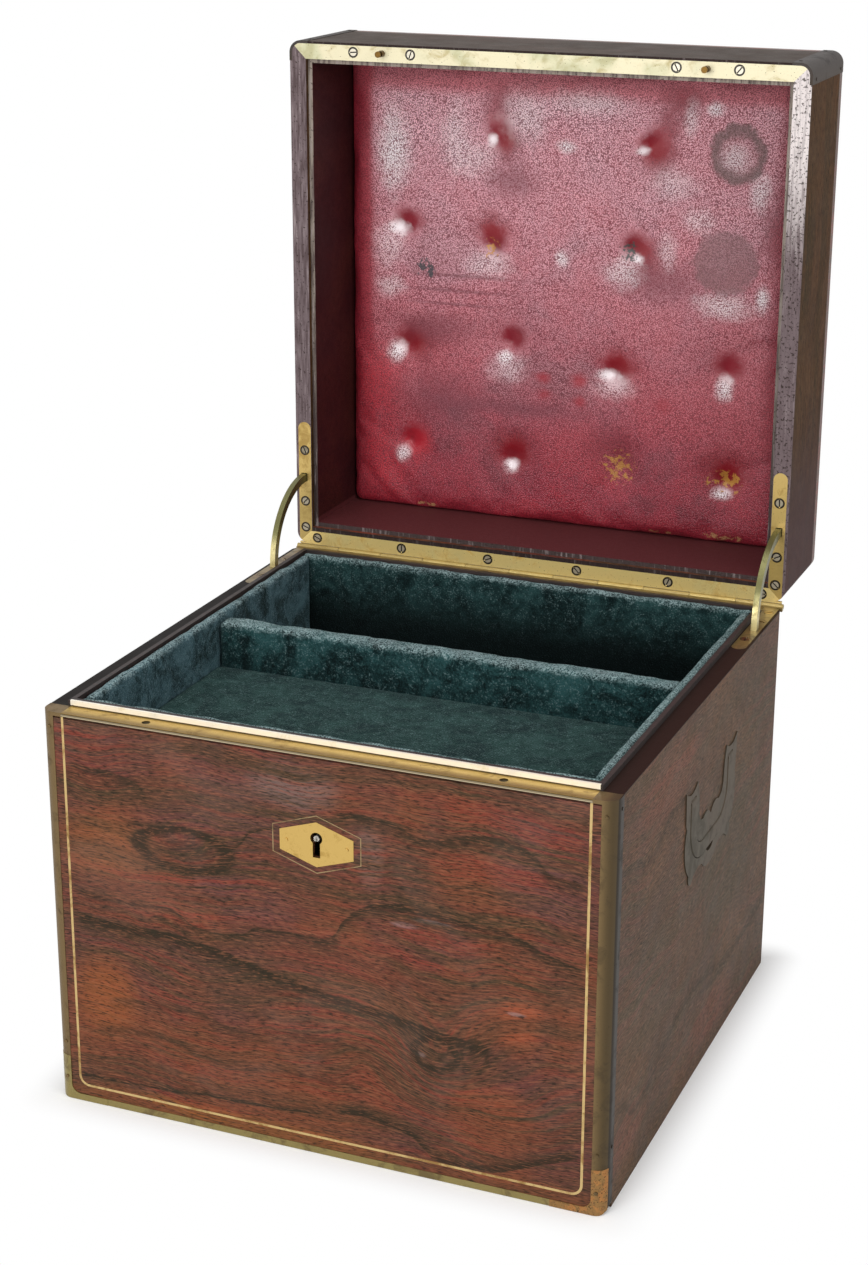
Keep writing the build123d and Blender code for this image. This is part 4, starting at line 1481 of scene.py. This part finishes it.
@dataclass
class Metalwork:
    """The brass and steel of the box.

    Attributes:
        rim_height: The case rim's height, in millimetres.
        lid_rim: Where the open lid's rim lies, along Y, in millimetres.
        lid_foot: The lowest height of the open lid, in millimetres.
        back: Where the case's back face lies, along Y.
        strip_up: The height of the lid strip's middle line.
        strip_screws: How far its screws stand from the middle.
        plate_across: How far the side plates' middle lines lie from the middle.
        plate_screws: How far their screws stand from the hinge side.
        leaf_across: How far the hinge leaf's outermost screws stand from the middle.
        leaf_count: How many screws the leaf has.
        leaf_inset: How far they stand from the hinge side.
        screw_face: The radius of the flat of a lid screw's head.
        screw_bevel: The width of the painted shade round it.
    """

    rim_height: float = 217.0
    lid_rim: float = 150.0
    lid_foot: float = 219.75
    back: float = 147.25
    strip_up: float = 509.25
    strip_screws: Tuple[float, ...] = (76.5, 111.0)
    plate_across: float = 144.5
    plate_screws: Tuple[float, ...] = (57.0, 25.7, 9.5)
    leaf_across: float = 137.0
    leaf_count: int = 6
    leaf_inset: float = 3.4
    screw_face: float = 2.15
    screw_bevel: float = 0.7

    def build(self) -> None:
        """Dresses every metal node."""
        self._strips()
        self._hinge()
        self._mouldings()
        self._fittings()

    def _strip_heads(self) -> Tuple[Point2, ...]:
        """Where the lid strip's screws are, across and up."""
        return tuple((side * place, self.strip_up) for side in (-1, 1) for place in self.strip_screws)

    def _hinge_heads(self) -> Tuple[Point2, ...]:
        """Where the hinge's and the side plates' screws are.

        Returns:
            Their places across and away from the hinge side, in millimetres.
        """
        pitch = 2 * self.leaf_across / (self.leaf_count - 1)
        leaf = tuple((i * pitch - self.leaf_across, self.leaf_inset) for i in range(self.leaf_count))
        plates = tuple((side * self.plate_across, place) for side in (-1, 1) for place in self.plate_screws)
        return leaf + plates

    def _strips(self) -> None:
        """The strips along the rims."""
        rim = self.rim_height
        # Painted light and shade on the strip's front: its face darkened olive for the dark it mirrors, thin
        # dark and bright lines for the shade and highlights on its edges, and a dark line of shadow under it.
        front = (
            Zone(1, -self.back + 6.0, -self.back + 0.5, "74592b", 0.75),
            Zone(2, rim - 0.15, rim - 0.35, "4a3a20"),
            Zone(2, rim - 0.55, rim - 0.7, "85785e"),
            Zone(2, rim - 1.3, rim - 1.4, "bdae90"),
            Zone(2, rim - 1.65, rim - 1.75, "2a2012"),
        )
        # Painted shade: a dark line along the lip's foot.
        foot = Zone(2, rim + 0.75, rim + 0.55, "40331a")
        dress(Brass("brass_front_strip", clean="b89a54", aged="8f7440", tarnish=0.4, spots=0.3, metal=0.75,
                    roughness=0.4, zones=front), "front_rim_strip")
        dress(Brass("brass_lip", clean="f4eee0", aged="e2d6b4", grime="8a7a4a", tarnish=0.3, spots=0.1,
                    metal=0.25, roughness=0.3, zones=(foot,)), "front_lip_strip")
        dress(Brass("brass_lid_strip", clean="d6cdac", aged="b8a878", tarnish=0.5, spots=0.9, metal=0.2,
                    roughness=0.36, tinge="b3b590", tinge_amount=0.6,
                    heads=Heads((0, 2), self._strip_heads())), "lid_rim_strip")

    def _hinge(self) -> None:
        """The hinge, the side plates and the stays."""
        foot = self.lid_foot
        lid_edge = Zone(2, foot - 0.6, foot - 0.9, "a08a50", 0.9)
        case_edge = Zone(1, self.back + 0.6, self.back + 1.0, "a08a50")
        lid_heads = tuple((x, foot + up) for x, up in self._hinge_heads())
        case_heads = tuple((x, self.back - up) for x, up in self._hinge_heads())
        lid = Brass("brass_lid_hinge", clean="e8cf86", aged="c09c50", tarnish=0.45, spots=0.8, tinge="c4c795",
                    tinge_amount=0.2, zones=(lid_edge,), metal=0.5, heads=Heads((0, 2), lid_heads))
        plate = replace(lid, name="brass_lid_plate", clean="d2b36c", aged="a68440", tinge="9a8446",
                        zones=(Zone(2, 262.0, 236.0, "9a8448", 0.6),))
        case = Brass("brass_case_hinge", clean="786436", aged="54452a", tarnish=0.6, tinge="74502c",
                     tinge_amount=0.4, heads=Heads((0, 1), case_heads), metal=0.35, zones=(case_edge,))
        dress(lid, "lid_hinge_leaf")
        dress(plate, "left_lid_plate", "right_lid_plate")
        dress(case, "case_hinge_leaf", "hinge_pin", "left_case_plate", "right_case_plate")
        green = Zone(2, 222.0, 238.0, "54542c", 0.9)
        dress(Brass("brass_stay", clean="d0c28c", aged="85743c", tarnish=0.5, spots=0.3, metal=0.6,
                    zones=(green,)), "left_stay", "right_stay")

    def _mouldings(self) -> None:
        """The corner mouldings, the caps and the strip under the front."""
        inner = Zone(0, 142.0, 148.5, "3d3220", 0.75)
        # Painted shade: a dark line along the right moulding's outer edge, for the gap against the side
        # board.
        painted_gap_shade = Zone(0, 149.5, 150.0, "1c150e", 0.85)
        browned = Zone(2, 514.0, 504.0, "33261a", 0.9)
        dress(Brass("brass_moulding", clean="75603f", aged="5a482c", grime="2f2619", metal=0.7,
                    roughness=0.45, zones=(inner, painted_gap_shade)),
              "left_corner_moulding", "right_corner_moulding", "moulding_pins")
        dress(Brass("brass_lid_moulding", clean="332b27", aged="28221f", grime="1d1812", metal=0.1,
                    roughness=0.6, zones=(browned,)),
              "left_lid_moulding", "right_lid_moulding", "lid_moulding_pins")
        dress(Brass("brass_base_strip", clean="8f8150", aged="6c5c38", spots=0.4, metal=0.7),
              "base_strip", "left_corner_cap")
        dress(Brass("brass_corroded_cap", clean="8e6a3a", aged="5f4426", grime="33220f", tarnish=0.6,
                    spots=1.4, metal=0.4, roughness=0.6, scale=0.9, tinge="b87c40", tinge_amount=0.6),
              "right_corner_cap")

    def _fittings(self) -> None:
        """The escutcheon, the inlay, the screws, the lock and the handles."""
        slots = Zone(1, self.lid_rim + 0.05, self.lid_rim + 0.25, "120c08")
        sunk = Zone(2, self.rim_height - 0.05, self.rim_height - 0.25, "120c08")
        upper = Zone(2, 470.0, 490.0, "d3ccba", 0.8)
        hinge_heads = tuple((x, self.lid_foot + up) for x, up in self._hinge_heads())
        edges = Heads((0, 2), self._strip_heads() + hinge_heads, self.screw_face, self.screw_bevel)
        dress(Brass("brass_escutcheon", clean="d0ae66", aged="b08f4c", grime="5a4522", tarnish=0.4,
                    roughness=0.34, scale=0.2), "escutcheon", "escutcheon_pins")
        dress(Brass("brass_inlay", clean="cdb078", aged="94723f", tarnish=0.6, spots=0.5, metal=0.8),
              "stringing")
        dress(Brass("brass_fine_line", clean="9c8660", aged="6e5838", tarnish=0.6, metal=0.6),
              "escutcheon_line")
        dress(Brass("brass_lid_screw", clean="a89e88", aged="7d725c", metal=0.4, zones=(upper, slots),
                    heads=edges), "lid_screws")
        dress(Brass("brass_case_screw", clean="8a744a", aged="5f4d2f", spots=0.2, zones=(sunk,)),
              "case_screws")
        dress(Brass("brass_stud", clean="644b26", aged="35270f", spots=0.4),
              "lid_studs", "lock_bolt", "lock_case")
        dress(Brass("brass_handle", clean="4b3f30", aged="3d3427", grime="2b2820", spots=0.2, metal=0.3,
                    roughness=0.6, tinge="434034", tinge_amount=0.4),
              "right_handle_plate", "left_handle_plate", "right_handle_bail", "left_handle_bail",
              "handle_pivots")
        dress(Steel("steel_pin"), "lock_pin")


@dataclass(frozen=True)
class Lamp:
    """A square soft lamp.

    Attributes:
        name: Its name.
        place: Where it hangs, in millimetres.
        aim: What it points at, in millimetres.
        size: Its side, in millimetres.
        power: Its power in watts.
    """

    name: str
    place: Point3
    aim: Point3
    size: float
    power: float

    def build(self) -> None:
        """Hangs the lamp up."""
        data = bpy.data.lights.new(self.name, "AREA")
        data.shape = "SQUARE"
        data.size = self.size * MM
        data.energy = self.power
        lamp = bpy.data.objects.new(self.name, data)
        lamp.location = Vector(self.place) * MM
        lamp.rotation_euler = (Vector(self.aim) - Vector(self.place)).to_track_quat("-Z", "Y").to_euler()
        bpy.context.scene.collection.objects.link(lamp)


@dataclass
class Studio:
    """The white studio: floor, surroundings, lamps and camera.

    Attributes:
        lens_pixels: The camera's focal length in pixels of the image's height.
        eye: The camera's place, in millimetres.
        aim: What it looks at, in millimetres.
        roll: Its turn about its own axis, in degrees.
        lens_film: The film's long side, in millimetres.
        ambient: The level of the light from all round.
        footing: Half the box's width and depth, in millimetres.
        shadow: Between which distances from the box the floor's shadow gives way to plain white.
        floor_size: Half the floor's width, in metres.
        floor_gap: How far the floor lies under the box, in metres.
        lamps: The lamps.
    """

    lens_pixels: float = 2401.6
    eye: Point3 = (450.76, -1100.50, 648.57)
    aim: Point3 = (21.92, -52.88, 250.35)
    roll: float = 0.186
    lens_film: float = 36.0
    ambient: float = 0.5
    footing: Point2 = (151.0, 148.0)
    shadow: Point2 = (-8.0, 24.0)
    floor_size: float = 20.0
    floor_gap: float = 0.0002
    lamps: Tuple[Lamp, ...] = (
        Lamp("key", (-350, -1600, 800), (0, 0, 250), 900, 14.5),
        Lamp("overhead", (0, -250, 1900), (0, 0, 200), 1300, 12),
        Lamp("side", (1600, -700, 900), (100, 0, 200), 900, 8),
    )

    def build(self) -> None:
        """Builds the studio."""
        self._camera()
        self._surroundings()
        self._floor()
        for lamp in self.lamps:
            lamp.build()
        bpy.context.scene.view_settings.view_transform = "Standard"

    def _camera(self) -> None:
        """Puts up the camera."""
        data = bpy.data.cameras.new("camera")
        data.sensor_fit = "VERTICAL"
        data.sensor_height = self.lens_film
        data.lens = self.lens_pixels * self.lens_film / IMAGE_SIZE[1]
        data.clip_start = 0.05
        data.clip_end = 60.0
        camera = bpy.data.objects.new("camera", data)
        eye = Vector(self.eye) * MM
        ahead = Vector(self.aim) * MM - eye
        level = ahead.to_track_quat("-Z", "Y").to_matrix().to_4x4()
        lean = Matrix.Rotation(math.radians(self.roll), 4, Vector((0, 0, 1)))
        camera.matrix_world = Matrix.Translation(eye) @ level @ lean
        bpy.context.scene.collection.objects.link(camera)
        bpy.context.scene.camera = camera

    def _surroundings(self) -> None:
        """A world that is white where it is seen and softer as light."""
        world = bpy.data.worlds.new("surroundings")
        bpy.context.scene.world = world
        g = Graph(world)
        strength = g.seen() * (1.0 - self.ambient) + self.ambient
        g.close(g.node("ShaderNodeBackground", {}, {"Color": (1.0, 1.0, 1.0, 1.0), "Strength": strength}))

    def _floor(self) -> None:
        """A wide floor that takes the box's shadow and is plain white away from it."""
        g = Graph.material("floor_white")
        x, y, _ = g.axes()
        across = (abs(x) - self.footing[0]).most(0.0)
        along = (abs(y) - self.footing[1]).most(0.0)
        away = (across * across + along * along).root()
        lit = {"Base Color": (0.93, 0.93, 0.93, 1.0), "Roughness": 1.0, "Specular IOR Level": 0.0}
        matte = g.node("ShaderNodeBsdfPrincipled", {}, lit)
        glow = g.node("ShaderNodeEmission", {}, {"Color": (1.0, 1.0, 1.0, 1.0), "Strength": 1.0})
        plain = away.ease(*self.shadow) * g.seen()
        material = g.close(g.node("ShaderNodeMixShader", {}, {0: plain, 1: matte, 2: glow}))
        square = np.array([(-1, -1, 0), (1, -1, 0), (1, 1, 0), (-1, 1, 0)]) * self.floor_size
        floor = make_piece("floor", square - (0, 0, self.floor_gap), np.array([[0, 1, 2, 3]]), material)


# ---------------------------------------------------------------- figure of the boards, in millimetres

FRONT_VEINS = (
    Vein(((5, 187), (19, 188.6), (33, 188), (45, 185.4), (55, 182.4), (75, 185.8), (95, 189), (111, 183.4),
          (123, 173.8), (141, 172.6)), above=1.5, below=11, depth=0.75),
    Vein(((-9, 120), (5, 121), (13, 131), (23, 140), (35, 145), (49, 146), (65, 144.2), (95, 142.2),
          (119, 134), (141, 128)), above=1.2, below=12),
    Vein(((-139, 109.4), (-111, 106.6), (-85, 107), (-65, 104.6), (-35, 98), (-3, 92), (25, 87.6), (55, 83.8),
          (95, 78)), above=1.6, below=13, depth=0.9),
    Vein(((-95, 117), (-80, 112), (-65, 105)), above=2.5, below=4, depth=0.7),
    Vein(((-139, 121), (-110, 120), (-85, 121), (-62, 112), (-43, 113), (-33, 119), (-15, 120.6), (5, 121)),
         above=1.2, below=5, depth=0.75),
    Vein(((-143, 14.6), (-95, 16), (-55, 19), (-15, 21), (5, 24.4)), above=3.5, below=1.0, depth=0.9),
    Vein(((5, 24.4), (19, 26.4), (33, 25), (47, 21.6), (57, 15), (67, 9.8), (87, 11), (103, 15.4),
          (121, 23.4), (139, 30)), above=11, below=1.0, depth=0.85),
    Vein(((-141, 191), (-119, 189.4), (-103, 187), (-93, 181), (-88, 170)), above=1.4, below=12, depth=0.7),
    Vein(((-107, 163), (-89, 164), (-75, 165.4), (-61, 163), (-50, 159), (-35, 170), (-17, 176)), above=3,
         below=1.2),
    Vein(((-120, 60), (-80, 66), (-40, 60), (0, 66), (30, 58)), above=2, below=7, depth=0.6),
    Vein(((-130, 40), (-90, 46), (-50, 38), (-10, 42), (25, 36)), above=6, below=2, depth=0.6),
)
FRONT_KNOTS = (
    Knot((-73, 154), (26, 11), 12, 0.85),
    Knot((62, 70), (30, 26), 24, 0.0),
    Knot((62, 70), (12, 9), 6, 0.9),
    Knot((82, 73), (7, 9), 3, 0.7),
    Knot((28, 60), (22, 15), -14, 0.0),
    Knot((-60, 72), (50, 28), 12, 0.0),
    Knot((100, 45), (40, 30), 18, 0.0),
)
FRONT_PATCHES = (
    Patch((-116, 149), (34, 24), "83502c", 0.8),
    Patch((-120, 62), (24, 32), "8a4c26", 0.85),
    Patch((105, 100), (16, 28), "94482a", 0.85),
    Patch((90, 40), (34, 22), "8a4429", 0.85),
    Patch((-50, 7), (120, 9), "8f5328", 1.0),
    Patch((100, 6), (60, 8), "87492c", 0.8),
    Patch((0, 86), (105, 22), "4a3826", 0.6),
    Patch((50, 62), (34, 30), "463728", 0.6),
    Patch((50, 163), (16, 26), "3f3226", 0.75),
    Patch((112, 165), (28, 24), "5c3a38", 0.7),
    Patch((-30, 185), (50, 22), "5f3e3a", 0.7),
    Patch((-10, 198), (30, 14), "75655e", 0.55),
    Patch((28, 168), (9, 20), "84746a", 0.3),
    Patch((-50, 132), (60, 12), "653c3c", 0.6),
    Patch((20, 112), (60, 14), "7a2f26", 0.7),
    Patch((46, 136), (9, 2.0), "8f7d80", 0.9),
    Patch((60, 140), (12, 1.4), "8f7d80", 0.8),
    Patch((103, 100), (7, 1.6), "8a7878", 0.7),
    Patch((54, 68), (4, 1.8), "84726e", 0.6),
)
SIDE_VEINS = (
    Vein(((-140, 177), (-110, 172), (-92, 167), (-70, 172), (-54, 176), (-20, 171)), above=2, below=9,
         depth=0.6),
    Vein(((-140, 51), (-118, 44), (-100, 35), (-60, 44), (0, 52), (60, 40), (140, 44)), above=7, below=2,
         depth=0.6),
    Vein(((0, 46), (30, 40), (60, 36)), above=5, below=2, depth=0.5),
)
SIDE_KNOTS = (
    Knot((-40, 120), (70, 40), 16, 0.0),
    Knot((60, 60), (60, 30), -14, 0.0),
)
SIDE_PATCHES = (
    Patch((-60, 195), (60, 20), "764838", 0.7),
    Patch((-115, 28), (34, 22), "704436", 0.75),
    Patch((30, 24), (50, 18), "6c4234", 0.7),
    Patch((60, 110), (70, 60), "4c4232", 0.7),
    Patch((-90, 90), (50, 40), "4f4334", 0.6),
)

PAD_TUFTS = (
    Tuft(-47, 458), Tuft(45, 457, 7.5), Tuft(-104, 404, 5.0), Tuft(-49, 396), Tuft(36, 399), Tuft(-102, 333),
    Tuft(-36, 340), Tuft(28, 327), Tuft(95, 334, 4.5), Tuft(-100, 274), Tuft(-34, 269), Tuft(36, 272, 2.5),
    Tuft(98, 269), Tuft(-1, 457, -2.0, 4.0, 0.0), Tuft(-3, 394, -2.0, 4.0, 0.0),
)
PAD_FOLDS = (
    Fold((-45, 464), (-44, 490), 1.8, 6.0), Fold((52, 460), (72, 490), 2.2, 6.0),
    Fold((74, 470), (90, 486), -1.0, 5.0), Fold((108, 484), (124, 478), 0.8, 3.0),
    Fold((-128, 256), (-112, 236), 0.8, 3.0), Fold((-95, 379), (-32, 381), 0.4, 3.0),
    Fold((-95, 364), (-40, 369), 0.4, 3.0), Fold((118, 400), (118, 430), 1.2, 7.0),
    Fold((-100, 322), (-115, 250), -0.8, 8.0), Fold((-60, 275), (-75, 262), 0.5, 5.0),
)
PAD_MARKS = (
    Mark((99, 458), 17, MarkKind.RING, "5a4844", 0.75),
    Mark((94, 397), 19, MarkKind.DISC, "7a5a5c", 0.6),
    Mark((-88, 381), 7, MarkKind.FLECKS, "33383c", 0.9),
    Mark((36, 399), 7, MarkKind.FLECKS, "3c4a48", 0.9),
    Mark((-49, 395), 7, MarkKind.FLECKS, "c08a3c", 0.8),
    Mark((34, 272), 12, MarkKind.FLECKS, "c08a3c", 0.8),
    Mark((99, 270), 13, MarkKind.FLECKS, "c08a3c", 0.9, 0.6),
    Mark((-14, 322), 5, MarkKind.GLOW, "a3202e", 0.8, 0.7),
    Mark((-12, 312), 4, MarkKind.GLOW, "a3202e", 0.7, 0.9),
    Mark((9, 322), 5, MarkKind.GLOW, "a3202e", 0.8, 0.8),
    Mark((10, 310), 4, MarkKind.GLOW, "a3202e", 0.7, 0.9),
    Mark((61, 312), 5, MarkKind.GLOW, "a3202e", 0.5, 0.9),
    Mark((98, 236), 13, MarkKind.FLECKS, "c9a06c", 0.8, 0.25),
    Mark((-90, 235), 12, MarkKind.FLECKS, "c9a06c", 0.7, 0.12),
    Mark((60, 234.5), 14, MarkKind.FLECKS, "c9a06c", 0.7, 0.1),
)
# Painted shade round the stitches, along the folds and the right edge, and painted light on the red at the
# lower left.
PAD_PAINTED_SHADE = tuple(
    Mark(centre, radius * 1.25, MarkKind.GLOW, colour, depth, squat)
    for colour, depth, places in (
        ("8a1420", 0.95, (
            ((-38, 458), 8, 1.1), ((51, 455), 9, 1.1), ((-47, 407), 9, 0.8), ((46, 396), 8, 1.4),
            ((-94, 338), 12, 0.8), ((33, 334), 10, 0.8), ((-32, 277), 12, 0.9), ((98, 277), 12, 0.8))),
        ("8e2330", 0.8, (
            ((-45, 474), 7, 1.8), ((57, 470), 7, 1.8), ((66, 484), 9, 0.9), ((-98, 409), 8, 0.6),
            ((-35, 344), 6, 0.8), ((99, 338), 9, 0.7), ((30, 284), 13, 0.8))),
        ("84182a", 0.8, (((123, 415), 7, 2.6), ((126, 330), 5, 9.0))),
        ("c02231", 0.8, (((-118, 308), 12, 1.7), ((-117, 262), 12, 1.9), ((-93, 274), 8, 1.2))),
        ("6c3a46", 0.6, (
            ((-34, 436), 14, 0.6), ((-80, 346), 20, 0.4), ((-78, 304), 22, 0.6), ((55, 384), 26, 0.4),
            ((-60, 378), 34, 0.03), ((-66, 369), 30, 0.03), ((-70, 361), 28, 0.03), ((-30, 302), 40, 0.1))),
    )
    for centre, radius, squat in places)
# Painted shade in the leather's hollows round its stitches, along its folds and creases and down its right
# edge; painted light on the red at its lower left; and greyish patches.
"""The dark and red places in the leather, round its stitches and along its edges."""
# Painted highlights: pale gloss on the pebbles round the stitches and over the upper part.
PAD_PAINTED_LIGHT = PAD_PAINTED_SHADE + tuple(
    Mark(centre, radius, MarkKind.GLOW, "fbeef1", min(1.0, depth * 1.2), squat)
    for centre, radius, squat, depth in (
        ((-108, 450), 10, 2.4, 0.85), ((-70, 458), 8, 2.6, 0.4), ((-57, 446), 12, 0.9, 0.35),
        ((-112, 394), 10, 1.5, 0.4), ((-110, 369), 9, 0.7, 0.5), ((-28, 472), 14, 1.0, 0.4),
        ((10, 482), 22, 0.35, 0.4), ((62, 440), 14, 0.7, 0.35), ((71, 476), 5, 2.0, 0.5),
        ((85, 482), 5, 0.8, 0.8), ((34, 388), 12, 0.8, 0.5), ((60, 402), 6, 1.8, 0.4),
        ((-48, 386), 15, 0.5, 0.45), ((94, 373), 16, 0.5, 0.6), ((78, 420), 10, 0.7, 0.4),
        ((112, 438), 6, 1.8, 0.6), ((97, 455), 9, 1.0, 0.6), ((116, 378), 4, 1.8, 0.9),
        ((-2, 457), 6, 0.6, 0.8), ((-3, 393), 4, 1.2, 0.7), ((42, 456), 3.5, 0.7, 1.0),
        ((-49, 457), 2.8, 1.3, 1.0), ((-108, 403), 7, 0.6, 0.85), ((41, 395), 4, 0.8, 0.9),
        ((-108, 329), 5.5, 1.2, 1.0), ((-38, 331), 4.5, 0.8, 0.9), ((-36, 325), 12, 0.7, 0.35),
        ((25, 326), 7, 0.45, 1.0), ((30, 320), 14, 0.5, 0.4), ((96, 325), 5, 1.3, 0.8),
        ((-104, 266), 4.5, 1.1, 1.0), ((-34, 265), 5, 0.8, 1.0), ((96, 262), 6, 0.6, 0.9),
    ))
# The same with the painted highlights, the pale gloss on its pebbles round the stitches and higher up.
"""The same with the pale places, where its pebbles are polished."""
# Painted light on the top band, where the rim's shadow falls, and on the left edge; painted shade on the
# right edge; plain red along the bottom.
PAD_EDGE_LIGHT_AND_SHADE = (
    Zone(2, 480.0, 489.0, "d46c76", 0.8),
    Zone(2, 246.0, 239.0, "a82836", 0.6),
    Zone(0, -120.0, -126.0, "b42c3c", 0.75),
    Zone(0, 121.0, 127.0, "8c2836", 0.5),
)


def main() -> None:
    """Builds everything in order."""
    logging.basicConfig(level=logging.INFO, format="%(name)s %(message)s")
    Studio().build()
    Woodwork().build()
    Metalwork().build()
    VelvetLining(Velvet("teal_velvet")).build()
    deep_enough = 4.0
    drawn_in = tuple((tuft.across, tuft.up) for tuft in PAD_TUFTS if tuft.depth > deep_enough)
    pad = Leather("crimson_leather", painted_gloss_amount=0.86, gloss=0.55, pebble=0.0004, roughness=0.38,
                  marks=PAD_MARKS, painted_light_marks=PAD_PAINTED_LIGHT, edge_light_and_shade=PAD_EDGE_LIGHT_AND_SHADE, valley_amount=0.66, stretched=drawn_in)
    LeatherPad(pad, PAD_TUFTS, PAD_FOLDS).build()
    LidLiners().build()


if __name__ == "__main__":
    main()
